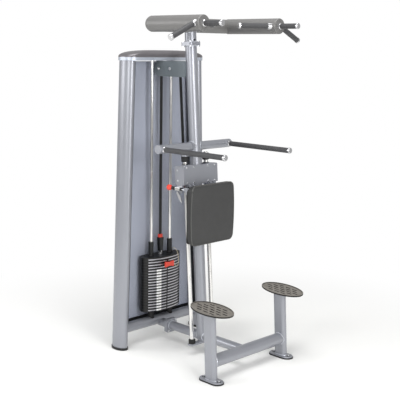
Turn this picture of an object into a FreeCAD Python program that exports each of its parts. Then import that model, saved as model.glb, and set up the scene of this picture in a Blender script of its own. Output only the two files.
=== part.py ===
import FreeCAD, Part
import math
import os

# Assisted chin-up dip machine: a leaning post with dip and chin-up handles, a
# counterweighted carriage with a folding knee pad, two step posts and a weight tower.
# Millimetres, +Z up, floor at zero. The user stands on the -Y side, the tower is on +Y.
# Sizes are written about the foot of the post and shifted to the middle of the footprint.

V = FreeCAD.Vector
SIDES = (-1, 1)
ROUND = 360
QUARTER = 90

# General fits
clear = 0.3
slip = 0.05
overrun = 10
tube_wall = 3

# Leaning post and its bolted flange
post_lean_deg = 4.27
post_radius = 38
chin_height = 2179
flange_drop = 119.7
flange_along = (chin_height - flange_drop) / math.cos(math.radians(post_lean_deg))
flange_side = 96
flange_round = 16
flange_plate = 12
flange_bolt_pitch = 70
flange_bolt_radius = 5
flange_head_radius = 9
flange_head_height = 7
stub_slot_height = 22
stub_slot_half_width = 11
stub_slot_radius = 5

# Chin-up head
chin_tube_back = 152
chin_tube_radius = 47
arm_reach = 345
arm_radius = 50
arm_front = -302
arm_back = 145
arm_dome = 42
arm_cap = 8
arm_cap_round = 5

# Grips: steel bar, rubber sleeve, root collar and polished end cap
grip_bar_radius = 12.5
grip_radius = 17
collar_radius = 21
collar_length = 12
end_cap_radius = 19
end_cap_length = 14
end_cap_round = 5
axial_grip_length = 154
outer_root_offset = V(50, 26, -2)
outer_tip_offset = V(236, 31, -90)
inner_root_offset = V(-50, 40, 0)
inner_tip_offset = V(-230, 144, 0)

# Dip beam and handles
dip_height = 1391
dip_beam_radius = 28.5
dip_half_span = 326
dip_handle_reach = 300
dip_handle_front = -465
dip_cap = 7
dip_cap_round = 4
dip_ring_radius = 34
dip_ring_length = 9

# Carriage rods and their brackets, in the plane of the post
rod_reach = 97
rod_radius = 14
rod_low_along = 62
rod_high_along = 1352
low_plate_along = 68
low_plate_thick = 12
low_plate_half_depth = 24
saddle_half_width = 26
high_plate_along = 1334
high_plate_thick = 10
rod_lug_radius = 24
post_ring_radius = 54
stop_radius = 23
stop_length = 36
low_stop_length = 30

# Carriage
carriage_half_width = 157
carriage_front = -48
carriage_plate = 8
carriage_low = 1150
carriage_height = 124
carriage_high = carriage_low + carriage_height
carriage_corner = 6
side_back = 34
side_round = 10
lobe_back = -5
lobe_drop = 30
lobe_radius = 24
lobe_tail_radius = 13
block_half_width = 25
block_half_flange = 42
block_flange = 12
block_back = 25
block_low_lip = 14
block_high_lip = 4
bushing_radius = 18
bushing_length = 42
bushing_lip = 22
bushing_lip_thick = 4
bolt_spread = 31
bolt_inset = 12
bolt_head_radius = 6.5
bolt_head_height = 4.5
bolt_radius = 4
side_bolt_back = 9
side_bolt_inset = 28
web_inset = 12
web_half_depth = 14

# Belt, belt yoke and clamp
belt_half_width = 12.5
belt_thick = 3
yoke_plate = 6
yoke_half_width = 76
yoke_foot_reach = 118
yoke_inset = 12
yoke_height = 56
yoke_round = 8
yoke_bolt_shares = (0.22, 0.78)
clamp_plate = 5
clamp_half_width = 24
clamp_half_height = 20
clamp_bolt_reach = 18

# Pulleys and pulley box
axle_drop = 54
rear_axle_back = 398
front_axle_back = 293
pulley_belt_radius = 38
pulley_flange_radius = 45
pulley_half_width = 18
pulley_flange_thick = 3
pulley_hub_radius = 15
pulley_web_half = 5
pulley_hole_radius = 7
pulley_hole_pitch_radius = 23.5
pulley_holes = 5
axle_radius = 8
box_half_width = 58
box_plate = 6
box_end_radius = 52
box_front_plate = 12
spacer_radius = 13
axle_head_radius = 11
axle_head_height = 7

# Knee pad, hung on a hinge in front of the carriage
hinge_y = 0
hinge_drop = 25
hinge_z = carriage_low - hinge_drop
hinge_pin_radius = 6
hinge_head_radius = 9
hinge_head = 4
barrel_radius = 12
ear_radius = 12
ear_inner = 75
ear_outer = 119
ear_plate = 10
ear_rise = 5
pad_half_width = 200
pad_rise = 35
pad_height = 401
pad_back = -18
pad_front = -80
board_thick = 12
board_inset = 14
board_rise = 8
pad_corner = 34
bracket_plate = 5
bracket_half_width = 126
bracket_height = 194
bracket_high_drop = 1
bracket_round = 12
strip_height = 28
disc_radius = 17
disc_half_width = 6
disc_hole_depth = 10

# Spring pull-pin that locks the pad's index disc, and the lever under it
pin_reach = 170
pin_radius = 5
pin_park = 0.5
block_pin_start = 56
block_pin_end = 100
block_pin_half = 12
block_pin_round = 4
nut_radius = 10
nut_length = 10
pin_sleeve_radius = 12
pin_sleeve_length = 26
pin_sleeve_end = 138
knob_radius = 19
knob_length = 40
knob_neck_radius = 9
lever_y = 90
lever_drop = 28
lever_boss_radius = 8
lever_boss = 11
lever_plate = 6
lever_length = 76
lever_half_width = 10
lever_angle_deg = 235

# Weight stack
guide_reach = 87
guide_y = 436
guide_radius = 11
guide_low = 148
guide_tip = 2
plate_half_width = 174
plate_front = 362
plate_shoulder_reach = 160
plate_shoulder_y = 470
plate_back_reach = 125
plate_back = 492
plate_thick = 19.4
plate_gap = 0.6
lower_plate_count = 16
lifted_plate_count = 2
stack_bottom = 216
plate_groove = 1.5
plate_edge_drop = 2
head_thick = 24
guide_hole = 12.5
stem_radius = 14
stem_hole = 15.5
stem_pin_radius = 5.5
rubber_radius = 22
rubber_foot_radius = 26
rubber_foot = 14
sleeve_out = 18
guide_sleeve_length = 100
guide_sleeve_flange = 23
head_bolt_reach = 122
head_bolt_y = 462
clevis_half_width = 20
clevis_half_depth = 13
clevis_height = 106
clevis_taper_share = 0.6
clevis_slot_half = 4
clevis_base = 12
clevis_pin_radius = 5
clamp_red_half_width = 15
clamp_red_half_depth = 11
clamp_red_height = 22
stem_above = 26

# Selector pin and its tether
selector_radius = 5
selector_length = 84
tag_half_width = 40
tag_half_height = 20
tag_thick = 9
tag_waist = 12
tag_boss_radius = 12
tag_boss = 8
tether_radius = 1.6
tether_offsets = (
    V(118, 4, 7), V(118, 4, 21), V(116, -12, 32), V(108, -44, 28), V(102, -71, 6),
    V(105, -74, -25), V(113, -68, -47), V(115, -66, -68), V(107, -69, -83), V(86, -75, -90),
    V(68, -84, -86), V(58, -93, -72), V(52, -95.5, -56), V(40.4, -95.5, -54),
)
tether_setback_share = 0.45
tether_boss_radius = 5
tether_boss = 7

# Tower columns, cap, rear panel and beams
column_foot_reach = 366
column_top_reach = 303
column_y = 436
column_half_width = 40
column_half_depth = 66
column_wall = 3
column_top = 1962
foot_base = 6
foot_height = 16
foot_rim = 4
liner_thick = 3
liner_half_depth = 46
liner_low = 172
liner_drop = 26
panel_y = 496
panel_thick = 2
panel_fold = 14
panel_low = 172
panel_drop = 22
panel_rib_depth = 8
panel_rib_count = 3
cap_half_width = 383
cap_half_depth = 82
cap_drop = 15
cap_rim = 22
cap_rise = 47
cap_corner = 62
cap_wall = 3
cap_arch_margin = 1
cap_boss_radius = 9
cap_boss_reach = 180
tower_bar_radius = 35
tower_bar_height = 131
top_beam_half_depth = 24
top_beam_drop = 14
top_beam_thick = 16
hanger_plate = 6
hanger_half_depth = 20

# Base and steps
base_radius = 30
base_height = 112
joint_y = 322
step_reach = 333
step_foot_y = -408
step_top_y = -380
step_half_width = 22.5
step_half_depth = 45
step_beam_radius = 40
step_beam_height = 122
foot_plate_half_width = 40
foot_plate_half_length = 88
foot_plate_thick = 7
rubber_thick = 8
rubber_rim = 3
anchor_reach = 64
anchor_radius = 6.5
tread_y = -403
tread_height = 457
tread_half_width = 105
tread_half_length = 156
tread_pitch_deg = 4
tread_thick = 9
tread_rim = 4
tread_rim_width = 5
slot_length = 40
slot_radius = 5
slot_pitch_x = 29
slot_pitch_y = 54
tread_margin = 13
step_plate = 6

lean = math.radians(post_lean_deg)
pitch = math.radians(tread_pitch_deg)
front_y = tread_y - tread_half_length * math.cos(pitch) - tread_thick / 2 * math.sin(pitch)
rear_y = column_y + cap_half_depth
middle_y = (front_y + rear_y) / 2
lobe_along = carriage_low - lobe_drop
block_low = carriage_low - block_low_lip
block_high = carriage_high + block_high_lip
side_bolt_along = (carriage_low + side_bolt_inset, carriage_high - side_bolt_inset)
yoke_high = carriage_high - yoke_inset
yoke_low = yoke_high - yoke_height
pad_top = hinge_z + pad_rise
pad_bottom = pad_top - pad_height
bracket_high = hinge_z - bracket_high_drop
bracket_low = bracket_high - bracket_height
lever_z = hinge_z - lever_drop
top_beam_low = column_top - top_beam_drop
top_beam_high = top_beam_low + top_beam_thick
axle_height = top_beam_low - axle_drop
guide_high = top_beam_high + guide_tip
liner_high = column_top - liner_drop
panel_high = column_top - panel_drop
cap_low = column_top - cap_drop
arm_end = V(arm_reach, arm_front, chin_height)
X_AXIS = V(1, 0, 0)
Y_AXIS = V(0, 1, 0)
Z_AXIS = V(0, 0, 1)
ORIGIN = V(0, 0, 0)


# Basic shapes
def cylinder(radius, start, end):
    return Part.makeCylinder(radius, (end - start).Length, start, end - start)


def pipe(radius, wall, start, end):
    return cylinder(radius, start, end).cut(cylinder(radius - wall, start, end))


def box(low, high):
    size = high - low
    return Part.makeBox(size.x, size.y, size.z, low)


def join(shapes):
    whole = shapes[0]
    for shape in shapes[1:]:
        whole = whole.fuse(shape)
    return whole.removeSplitter()


def mirrored(shape):
    return shape.mirror(ORIGIN, X_AXIS)


def rounded_wire(half_x, half_y, radius, z=0):
    """Rectangle outline centred on the Z axis, with rounded corners."""
    edges = []
    ends = []
    for index, (sign_x, sign_y) in enumerate(((1, 1), (-1, 1), (-1, -1), (1, -1))):
        centre = V(sign_x * (half_x - radius), sign_y * (half_y - radius), z)
        first = math.radians(index * QUARTER)
        last = math.radians((index + 1) * QUARTER)
        arc = Part.Arc(Part.Circle(centre, Z_AXIS, radius), first, last).toShape()
        edges.append(arc)
        ends.append((arc.valueAt(arc.FirstParameter), arc.valueAt(arc.LastParameter)))
    sides = []
    for index in range(len(ends)):
        start = ends[index][1]
        end = ends[(index + 1) % len(ends)][0]
        sides.append(edges[index])
        if (end - start).Length > slip:
            sides.append(Part.makeLine(start, end))
    return Part.Wire(sides)


def rounded_plate(half_x, half_y, radius, low, high):
    return Part.Face(rounded_wire(half_x, half_y, radius, low)).extrude(V(0, 0, high - low))


def oval_face(half_x, half_y, centre):
    """Ellipse in a level plane whose long axis lies along Y."""
    long_end = centre + V(0, half_y, 0)
    short_end = centre + V(half_x, 0, 0)
    return Part.Face(Part.Wire(Part.Ellipse(long_end, short_end, centre).toShape()))


def revolved(points, centre, direction):
    """Turns a closed (radius, distance) profile about an axis through centre."""
    corners = [V(radius, 0, along) for radius, along in points]
    solid = Part.Face(Part.makePolygon(corners + corners[:1])).revolve(ORIGIN, Z_AXIS, ROUND)
    return aimed(solid, centre, direction)


def aimed(solid, centre, direction):
    """Turns a solid's Z axis to a direction and carries its origin to centre."""
    solid.Placement = FreeCAD.Placement(centre, FreeCAD.Rotation(Z_AXIS, direction))
    return solid


def leaned(solid):
    """Carries a solid from the post's own frame (Z along the post) to the floor's frame."""
    return solid.rotated(ORIGIN, X_AXIS, -post_lean_deg)


def along_post(x, back, along):
    """Point given beside, behind and along the post, in the floor's frame."""
    cosine = math.cos(lean)
    sine = math.sin(lean)
    return V(x, back * cosine + along * sine, along * cosine - back * sine)


def post_frame(point):
    """A floor-frame point's distances beside, behind and along the post."""
    cosine = math.cos(lean)
    sine = math.sin(lean)
    return V(point.x, point.y * cosine - point.z * sine, point.y * sine + point.z * cosine)


def domed_disc(radius, length, edge_round, centre, direction):
    """Short cylinder whose outer edge is rounded."""
    disc = Part.makeCylinder(radius, length)
    outer = [edge for edge in disc.Edges if edge.CenterOfMass.z > length - slip and edge.Closed]
    return aimed(disc.makeFillet(edge_round, outer), centre, direction)


def hex_head(radius, height, centre, direction):
    corners = []
    for step in range(6):
        angle = math.radians(step * ROUND / 6)
        corners.append(V(radius * math.cos(angle), radius * math.sin(angle), 0))
    prism = Part.Face(Part.makePolygon(corners + corners[:1])).extrude(V(0, 0, height))
    return aimed(prism, centre, direction)


def save(name, *solids):
    shape = solids[0] if len(solids) == 1 else Part.makeCompound(list(solids))
    shape = shape.copy()
    shape.translate(V(0, -middle_y, 0))
    shape.exportStep("parts/%s.step" % name)


# Post, flanges and chin-up head
def flange(low, high):
    """Square plate with rounded corners and four bolt holes, about the Z axis."""
    plate = rounded_plate(flange_side / 2, flange_side / 2, flange_round, low, high)
    for x, y in bolt_square():
        hole = cylinder(flange_bolt_radius + clear, V(x, y, low - overrun), V(x, y, high + overrun))
        plate = plate.cut(hole)
    return plate


def bolt_square():
    half = flange_bolt_pitch / 2
    return [(sx * half, sy * half) for sx in SIDES for sy in SIDES]


def flange_bolt_set(low, high):
    bolts = []
    for x, y in bolt_square():
        bolts.append(join([
            cylinder(flange_bolt_radius, V(x, y, low), V(x, y, high)),
            hex_head(flange_head_radius, flange_head_height, V(x, y, high), Z_AXIS),
            hex_head(flange_head_radius, flange_head_height, V(x, y, low), V(0, 0, -1)),
        ]))
    return bolts


def base_beam_core():
    start = V(0, joint_y, base_height)
    return cylinder(base_radius, start, V(0, step_foot_y, base_height))


def chin_tube_core():
    return cylinder(chin_tube_radius, V(-arm_reach, chin_tube_back, chin_height),
                    V(arm_reach, chin_tube_back, chin_height))


def make_post():
    low = base_height * math.cos(lean)
    tube = Part.makeCylinder(post_radius, flange_along - flange_plate, V(0, 0, 0), Z_AXIS)
    bore = Part.makeCylinder(post_radius - tube_wall, flange_along + overrun, V(0, 0, 0), Z_AXIS)
    plate = flange(flange_along - flange_plate, flange_along)
    body = leaned(tube.fuse(plate).cut(bore))
    under = box(V(-flange_side, -flange_side, -flange_side), V(flange_side, flange_side, low))
    return body.cut(under).cut(base_beam_core())


def make_stub():
    low = flange_along
    high = (chin_height - chin_tube_radius / 2) / math.cos(lean)
    tube = cylinder(post_radius, V(0, 0, low), V(0, 0, high))
    bore = cylinder(post_radius - tube_wall, V(0, 0, low - overrun), V(0, 0, high + overrun))
    body = tube.fuse(flange(low, low + flange_plate)).cut(bore)
    height = low + flange_plate + stub_slot_height / 2
    slot = join([
        cylinder(stub_slot_radius, V(-stub_slot_half_width + stub_slot_radius, 0, height),
                 V(-stub_slot_half_width + stub_slot_radius, -post_radius - overrun, height)),
        cylinder(stub_slot_radius, V(stub_slot_half_width - stub_slot_radius, 0, height),
                 V(stub_slot_half_width - stub_slot_radius, -post_radius - overrun, height)),
        box(V(-stub_slot_half_width + stub_slot_radius, -post_radius - overrun,
              height - stub_slot_radius),
            V(stub_slot_half_width - stub_slot_radius, 0, height + stub_slot_radius)),
    ])
    return leaned(body.cut(slot)).cut(chin_tube_core())


def arm_core(side):
    return cylinder(arm_radius, V(side * arm_reach, arm_front, chin_height),
                    V(side * arm_reach, arm_back, chin_height))


def make_chin_tube():
    start = V(-arm_reach, chin_tube_back, chin_height)
    tube = pipe(chin_tube_radius, tube_wall, start, V(arm_reach, chin_tube_back, chin_height))
    for side in SIDES:
        tube = tube.cut(arm_core(side)).cut(dome(side))
        far = box(V(0, chin_tube_back - arm_radius * 2, chin_height - arm_radius * 2),
                  V(arm_radius * 2, chin_tube_back + arm_radius * 2, chin_height + arm_radius * 2))
        edge = arm_reach - arm_radius / 2
        far.translate(V(edge if side > 0 else -edge - arm_radius * 2, 0, 0))
        tube = tube.cut(far)
    return tube


def make_chin_tube_ends():
    """Closing discs in the ends of the cross tube, behind the arms."""
    ends = []
    edge = arm_reach - arm_radius / 2
    for side in SIDES:
        disc = cylinder(chin_tube_radius - tube_wall, V(side * (edge - arm_cap), chin_tube_back, chin_height),
                        V(side * edge, chin_tube_back, chin_height))
        ends.append(disc.cut(arm_core(side)).cut(dome(side)))
    return ends


def make_arms():
    arms = []
    for side in SIDES:
        start = V(side * arm_reach, arm_front, chin_height)
        arms.append(pipe(arm_radius, tube_wall, start, V(side * arm_reach, arm_back, chin_height)))
    return arms


def dome(side):
    """Spherical cap that closes the rear end of a chin arm."""
    sphere_radius = (arm_radius ** 2 + arm_dome ** 2) / (2 * arm_dome)
    centre = V(side * arm_reach, arm_back + arm_dome - sphere_radius, chin_height)
    ball = Part.makeSphere(sphere_radius, centre)
    keep = cylinder(arm_radius * 2, V(side * arm_reach, arm_back, chin_height),
                    V(side * arm_reach, arm_back + arm_dome * 2, chin_height))
    return ball.common(keep)


def make_tube_caps():
    caps = [dome(side) for side in SIDES]
    for side in SIDES:
        caps.append(domed_disc(arm_radius, arm_cap, arm_cap_round,
                               V(side * arm_reach, arm_front, chin_height), V(0, -1, 0)))
        caps.append(domed_disc(dip_beam_radius, dip_cap, dip_cap_round,
                               V(side * dip_half_span, dip_back(), dip_height), V(side, 0, 0)))
    return caps + make_chin_tube_ends()


# Grips
def grip_pieces(root, tip, carrier):
    """Bar, sleeve, collar and end cap of one handle, cut to the tube that carries it."""
    length = (tip - root).Length
    inside = collar_radius
    direction = (tip - root).normalize()
    start = root - direction * inside
    sleeve_start = inside + collar_length
    sleeve_end = inside + length - end_cap_length
    bar = cylinder(grip_bar_radius, start, root + direction * (length - end_cap_length))
    sleeve = pipe(grip_radius, grip_radius - grip_bar_radius - slip,
                  start + direction * sleeve_start, start + direction * sleeve_end)
    bore = grip_bar_radius + slip
    collar = revolved([(bore, 0), (collar_radius, 0), (collar_radius, sleeve_start - collar_length / 3),
                       (grip_radius, sleeve_start), (bore, sleeve_start)], start, direction)
    cap = domed_disc(end_cap_radius, end_cap_length, end_cap_round,
                     root + direction * (length - end_cap_length), direction)
    return [bar.cut(carrier), sleeve, collar.cut(carrier), cap]


def chin_grips():
    sets = []
    for side in SIDES:
        arm = arm_core(side).fuse(domed_disc(arm_radius, arm_cap, arm_cap_round,
                                             V(side * arm_reach, arm_front, chin_height), V(0, -1, 0)))
        face = arm_front - arm_cap
        sets.append(grip_pieces(V(side * arm_reach, face, chin_height),
                                V(side * arm_reach, face - axial_grip_length, chin_height), arm))
        pairs = ((arm_end + outer_root_offset, arm_end + outer_tip_offset),
                 (arm_end + inner_root_offset, arm_end + inner_tip_offset))
        for root, tip in pairs:
            sets.append(grip_pieces(V(side * root.x, root.y, root.z),
                                    V(side * tip.x, tip.y, tip.z), arm))
    return sets


def dip_back():
    return along_post(0, 0, dip_height / math.cos(lean)).y


def dip_beam_core():
    return cylinder(dip_beam_radius, V(-dip_half_span, dip_back(), dip_height),
                    V(dip_half_span, dip_back(), dip_height))


def dip_handles():
    sets = []
    for side in SIDES:
        root = V(side * dip_handle_reach, dip_back() - dip_beam_radius, dip_height)
        tip = V(side * dip_handle_reach, dip_handle_front, dip_height)
        sets.append(grip_pieces(root, tip, dip_beam_core()))
    return sets


def make_dip_arms():
    post = leaned(cylinder(post_radius, V(0, 0, 0), V(0, 0, flange_along)))
    arms = []
    for side in SIDES:
        start = V(0, dip_back(), dip_height)
        tube = pipe(dip_beam_radius, tube_wall, start, V(side * dip_half_span, dip_back(), dip_height))
        ring_start = V(side * (post_radius - overrun), dip_back(), dip_height)
        ring_end = V(side * (post_radius + dip_ring_length), dip_back(), dip_height)
        ring = pipe(dip_ring_radius, dip_ring_radius - dip_beam_radius + tube_wall, ring_start, ring_end)
        arms.append(join([tube, ring]).cut(post))
    return arms


# Carriage rods and brackets, built in the post's frame
def make_rods():
    rods = []
    for side in SIDES:
        rod = cylinder(rod_radius, V(side * rod_reach, 0, rod_low_along),
                       V(side * rod_reach, 0, rod_high_along))
        tips = [edge for edge in rod.Edges if edge.Closed]
        rods.append(leaned(rod.makeChamfer(rod_radius / 7, tips)))
    return rods


def lug_outline(low, high):
    """Plate that ties two round rod lugs to a ring about the post."""
    pieces = [cylinder(post_ring_radius, V(0, 0, low), V(0, 0, high))]
    for side in SIDES:
        pieces.append(cylinder(rod_lug_radius, V(side * rod_reach, 0, low), V(side * rod_reach, 0, high)))
    pieces.append(box(V(-rod_reach, -rod_lug_radius, low), V(rod_reach, rod_lug_radius, high)))
    plate = join(pieces)
    for side in SIDES:
        hole = cylinder(rod_radius + slip, V(side * rod_reach, 0, low - overrun),
                        V(side * rod_reach, 0, high + overrun))
        plate = plate.cut(hole)
    return plate


def make_high_bracket():
    plate = lug_outline(high_plate_along, high_plate_along + high_plate_thick)
    hole = cylinder(post_radius, V(0, 0, 0), V(0, 0, flange_along))
    return leaned(plate.cut(hole))


def make_low_bracket():
    """Flat bar under the base beam, with a saddle block that reaches up to the beam."""
    high = low_plate_along + low_plate_thick
    bar = rounded_plate(rod_reach + rod_lug_radius, low_plate_half_depth, low_plate_half_depth / 2,
                        low_plate_along, high)
    for side in SIDES:
        hole = cylinder(rod_radius + slip, V(side * rod_reach, 0, low_plate_along - overrun),
                        V(side * rod_reach, 0, high + overrun))
        bar = bar.cut(hole)
    block = rounded_plate(saddle_half_width, low_plate_half_depth, low_plate_half_depth / 2,
                          low_plate_along, base_height)
    whole = leaned(join([bar, block]))
    return whole.cut(base_beam_core())


def make_rod_stops():
    stops = []
    for side in SIDES:
        for low, high in ((high_plate_along - stop_length, high_plate_along),
                          (low_plate_along + low_plate_thick,
                           low_plate_along + low_plate_thick + low_stop_length)):
            ring = pipe(stop_radius, stop_radius - rod_radius - slip,
                        V(side * rod_reach, 0, low), V(side * rod_reach, 0, high))
            outer = [edge for edge in ring.Edges if edge.Closed and edge.Length > ROUND / 60 * stop_radius]
            stops.append(leaned(ring.makeFillet(stop_radius / 8, outer)))
    return stops


# Carriage, built in the post's frame
def ear(low_x, high_x):
    """Hinge ear from the carriage's front plate to the pad's hinge line."""
    pivot = post_frame(V(0, hinge_y, hinge_z))
    corners = [V(low_x, carriage_front + carriage_plate, carriage_low),
               V(low_x, carriage_front, carriage_low + ear_rise),
               V(low_x, pivot.y, pivot.z + ear_radius), V(low_x, pivot.y, pivot.z - ear_radius)]
    web = Part.Face(Part.makePolygon(corners + corners[:1])).extrude(V(high_x - low_x, 0, 0))
    end = cylinder(ear_radius, V(low_x, pivot.y, pivot.z), V(high_x, pivot.y, pivot.z))
    hole = cylinder(hinge_pin_radius, V(low_x - overrun, pivot.y, pivot.z),
                    V(high_x + overrun, pivot.y, pivot.z))
    return web.fuse(end).cut(hole)


def ear_places():
    return [(side * ear_inner, side * (ear_inner + ear_plate)) for side in SIDES] + \
           [(side * (ear_outer - ear_plate), side * ear_outer) for side in SIDES]


def make_carriage_plate():
    low = V(-carriage_half_width, carriage_front, carriage_low)
    high = V(carriage_half_width, carriage_front + carriage_plate, carriage_high)
    plate = box(low, high)
    corners = [edge for edge in plate.Edges
               if abs(edge.tangentAt(edge.FirstParameter).y) > 0.9]
    plate = plate.makeFillet(carriage_corner, corners)
    for start, end in ear_places():
        plate = plate.fuse(ear(min(start, end), max(start, end)))
    for x, along in front_bolts():
        hole = cylinder(bolt_radius + clear, V(x, carriage_front - overrun, along),
                        V(x, carriage_front + carriage_plate + overrun, along))
        plate = plate.cut(hole)
    return leaned(plate.removeSplitter())


def front_bolts():
    places = []
    for side in SIDES:
        for spread in SIDES:
            for along in (carriage_low + bolt_inset, carriage_high - bolt_inset):
                places.append((side * rod_reach + spread * bolt_spread, along))
    return places


def side_plate_outline(inner, outer):
    """Upright plate whose foot is a round lobe, where the pull-pin and lever sit."""
    front = carriage_front + carriage_plate
    body = box(V(inner, front, carriage_low), V(outer, side_back, carriage_high))
    corners = [edge for edge in body.Edges
               if abs(edge.tangentAt(edge.FirstParameter).x) > 0.9 and edge.CenterOfMass.y > 0]
    body = body.makeFillet(side_round, corners)
    tail = post_frame(V(0, lever_y, lever_z))
    lobe = cylinder(lobe_radius, V(inner, lobe_back, lobe_along), V(outer, lobe_back, lobe_along))
    neck = box(V(inner, lobe_back - lobe_radius, lobe_along),
               V(outer, lobe_back + lobe_radius, carriage_low + side_round * 2))
    foot = cylinder(lobe_tail_radius, V(inner, tail.y, tail.z), V(outer, tail.y, tail.z))
    return join([body, lobe, neck, foot])


def make_side_plates():
    plates = []
    outer = carriage_half_width
    inner = outer - carriage_plate
    for side in SIDES:
        body = side_plate_outline(inner, outer)
        for along in side_bolt_along:
            hole = cylinder(bolt_radius + clear, V(inner - overrun, side_bolt_back, along),
                            V(outer + overrun, side_bolt_back, along))
            body = body.cut(hole)
        plates.append(leaned(body if side > 0 else mirrored(body)))
    return plates


def yoke_bolt_places():
    return [(side * rod_reach, yoke_low + share * (yoke_high - yoke_low))
            for side in SIDES for share in yoke_bolt_shares]


def make_blocks():
    """Bearing housings: a flanged body round each rod with a web out to the side plate."""
    blocks = []
    front = carriage_front + carriage_plate
    for side in SIDES:
        body = box(V(rod_reach - block_half_width, front, block_low),
                   V(rod_reach + block_half_width, block_back, block_high))
        edges = [edge for edge in body.Edges
                 if abs(edge.tangentAt(edge.FirstParameter).z) > 0.9 and edge.CenterOfMass.y > 0]
        body = body.makeFillet(block_half_width * 0.6, edges)
        pad = box(V(rod_reach - block_half_flange, front, carriage_low),
                  V(rod_reach + block_half_flange, front + block_flange, carriage_high - clear))
        web = box(V(rod_reach, side_bolt_back - web_half_depth, carriage_low),
                  V(carriage_half_width - carriage_plate, side_bolt_back + web_half_depth,
                    carriage_high - web_inset))
        body = join([body, pad, web])
        bore = cylinder(bushing_radius, V(rod_reach, 0, block_low - overrun),
                        V(rod_reach, 0, block_high + overrun))
        body = body.cut(bore)
        for x, along in front_bolts():
            if x > 0:
                hole = cylinder(bolt_radius, V(x, front - overrun, along), V(x, front + block_flange, along))
                body = body.cut(hole)
        for along in side_bolt_along:
            inner = carriage_half_width - carriage_plate
            hole = cylinder(bolt_radius, V(inner - block_flange, side_bolt_back, along),
                            V(inner + overrun, side_bolt_back, along))
            body = body.cut(hole)
        for x, along in yoke_bolt_places():
            if x > 0:
                hole = cylinder(bolt_radius, V(x, block_back - yoke_plate, along),
                                V(x, block_back + overrun, along))
                body = body.cut(hole)
        blocks.append(leaned(body if side > 0 else mirrored(body)))
    return blocks


def make_bushings():
    """Flanged plastic sleeves that run on the carriage rods."""
    bushings = []
    for side in SIDES:
        for outward, end in ((-1, block_low), (1, block_high)):
            profile = [(rod_radius + slip, -bushing_length), (bushing_radius, -bushing_length),
                       (bushing_radius, 0), (bushing_lip, 0),
                       (bushing_lip, bushing_lip_thick / 2), (bushing_radius, bushing_lip_thick),
                       (rod_radius + slip, bushing_lip_thick)]
            solid = revolved(profile, V(side * rod_reach, 0, end), V(0, 0, outward))
            bushings.append(leaned(solid))
    return bushings


def make_carriage_bolts():
    bolts = []
    face = carriage_front
    for x, along in front_bolts():
        bolts.append(leaned(join([
            cylinder(bolt_radius, V(x, face, along),
                     V(x, face + carriage_plate + block_flange - clear, along)),
            domed_disc(bolt_head_radius, bolt_head_height, bolt_head_height / 2, V(x, face, along),
                       V(0, -1, 0)),
        ])))
    for side in SIDES:
        for along in side_bolt_along:
            outer = V(side * carriage_half_width, side_bolt_back, along)
            inner = V(side * (carriage_half_width - carriage_plate - block_flange + clear), side_bolt_back,
                      along)
            bolts.append(leaned(join([
                cylinder(bolt_radius, outer, inner),
                domed_disc(bolt_head_radius, bolt_head_height, bolt_head_height / 2, outer, V(side, 0, 0)),
            ])))
    for x, along in yoke_bolt_places():
        outer = V(x, block_back + yoke_plate, along)
        bolts.append(leaned(join([
            cylinder(bolt_radius, V(x, block_back - yoke_plate + clear, along), outer),
            domed_disc(bolt_head_radius, bolt_head_height, bolt_head_height / 2, outer, Y_AXIS),
        ])))
    return bolts


def belt_line():
    """Distance behind the post's axis of the middle of the belt's carriage run."""
    axle = post_frame(V(0, front_axle_back, axle_height))
    return axle.y - pulley_belt_radius - belt_thick / 2


def make_yoke():
    """Bent flat bar from both bearing housings round behind the post to the belt."""
    back = belt_line() + belt_thick / 2
    outline = [
        V(yoke_foot_reach, block_back, yoke_low), V(yoke_foot_reach, block_back + yoke_plate, yoke_low),
        V(yoke_half_width, block_back + yoke_plate, yoke_low),
        V(yoke_half_width, back + yoke_plate, yoke_low),
    ]
    inner = [
        V(yoke_half_width - yoke_plate, back, yoke_low),
        V(yoke_half_width - yoke_plate, block_back, yoke_low),
    ]
    left = [V(-point.x, point.y, point.z) for point in reversed(outline)]
    left_inner = [V(-point.x, point.y, point.z) for point in reversed(inner)]
    corners = outline + left + left_inner + inner
    bar = Part.Face(Part.makePolygon(corners + corners[:1])).extrude(V(0, 0, yoke_high - yoke_low))
    outer_bends = [edge for edge in bar.Edges
                   if abs(edge.tangentAt(edge.FirstParameter).z) > 0.9
                   and edge.CenterOfMass.y > back + yoke_plate - slip]
    bar = bar.makeFillet(yoke_round, outer_bends)
    for x, along in yoke_bolt_places():
        hole = cylinder(bolt_radius + clear, V(x, block_back - overrun, along),
                        V(x, block_back + overrun * 2, along))
        bar = bar.cut(hole)
    return leaned(bar)


def make_clamp():
    """Plate with two bolts that grips the end of the belt against the yoke."""
    face = belt_line() - belt_thick / 2
    middle = (yoke_low + yoke_high) / 2
    plate = box(V(-clamp_half_width, face - clamp_plate, middle - clamp_half_height),
                V(clamp_half_width, face, middle + clamp_half_height))
    edges = [edge for edge in plate.Edges if abs(edge.tangentAt(edge.FirstParameter).y) > 0.9]
    pieces = [plate.makeFillet(clamp_plate, edges)]
    back = belt_line() + belt_thick / 2 + yoke_plate
    for side in SIDES:
        x = side * clamp_bolt_reach
        start = V(x, face - clamp_plate, middle)
        pieces.append(hex_head(bolt_head_radius, bolt_head_height, start, V(0, -1, 0)))
        pieces.append(cylinder(bolt_radius, start, V(x, back - yoke_plate, middle)))
    return leaned(join(pieces))


# Knee pad, built in the floor's frame
def pad_wire(inset, y, high=pad_top):
    """Upright rounded outline, drawn in by an inset at the sides and the foot."""
    low = pad_bottom + inset
    corner = max(pad_corner - inset, pad_corner / 2)
    wire = rounded_wire(pad_half_width - inset, (high - low) / 2, corner)
    wire.rotate(ORIGIN, X_AXIS, QUARTER)
    wire.translate(V(0, y, (high + low) / 2))
    return wire


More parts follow.
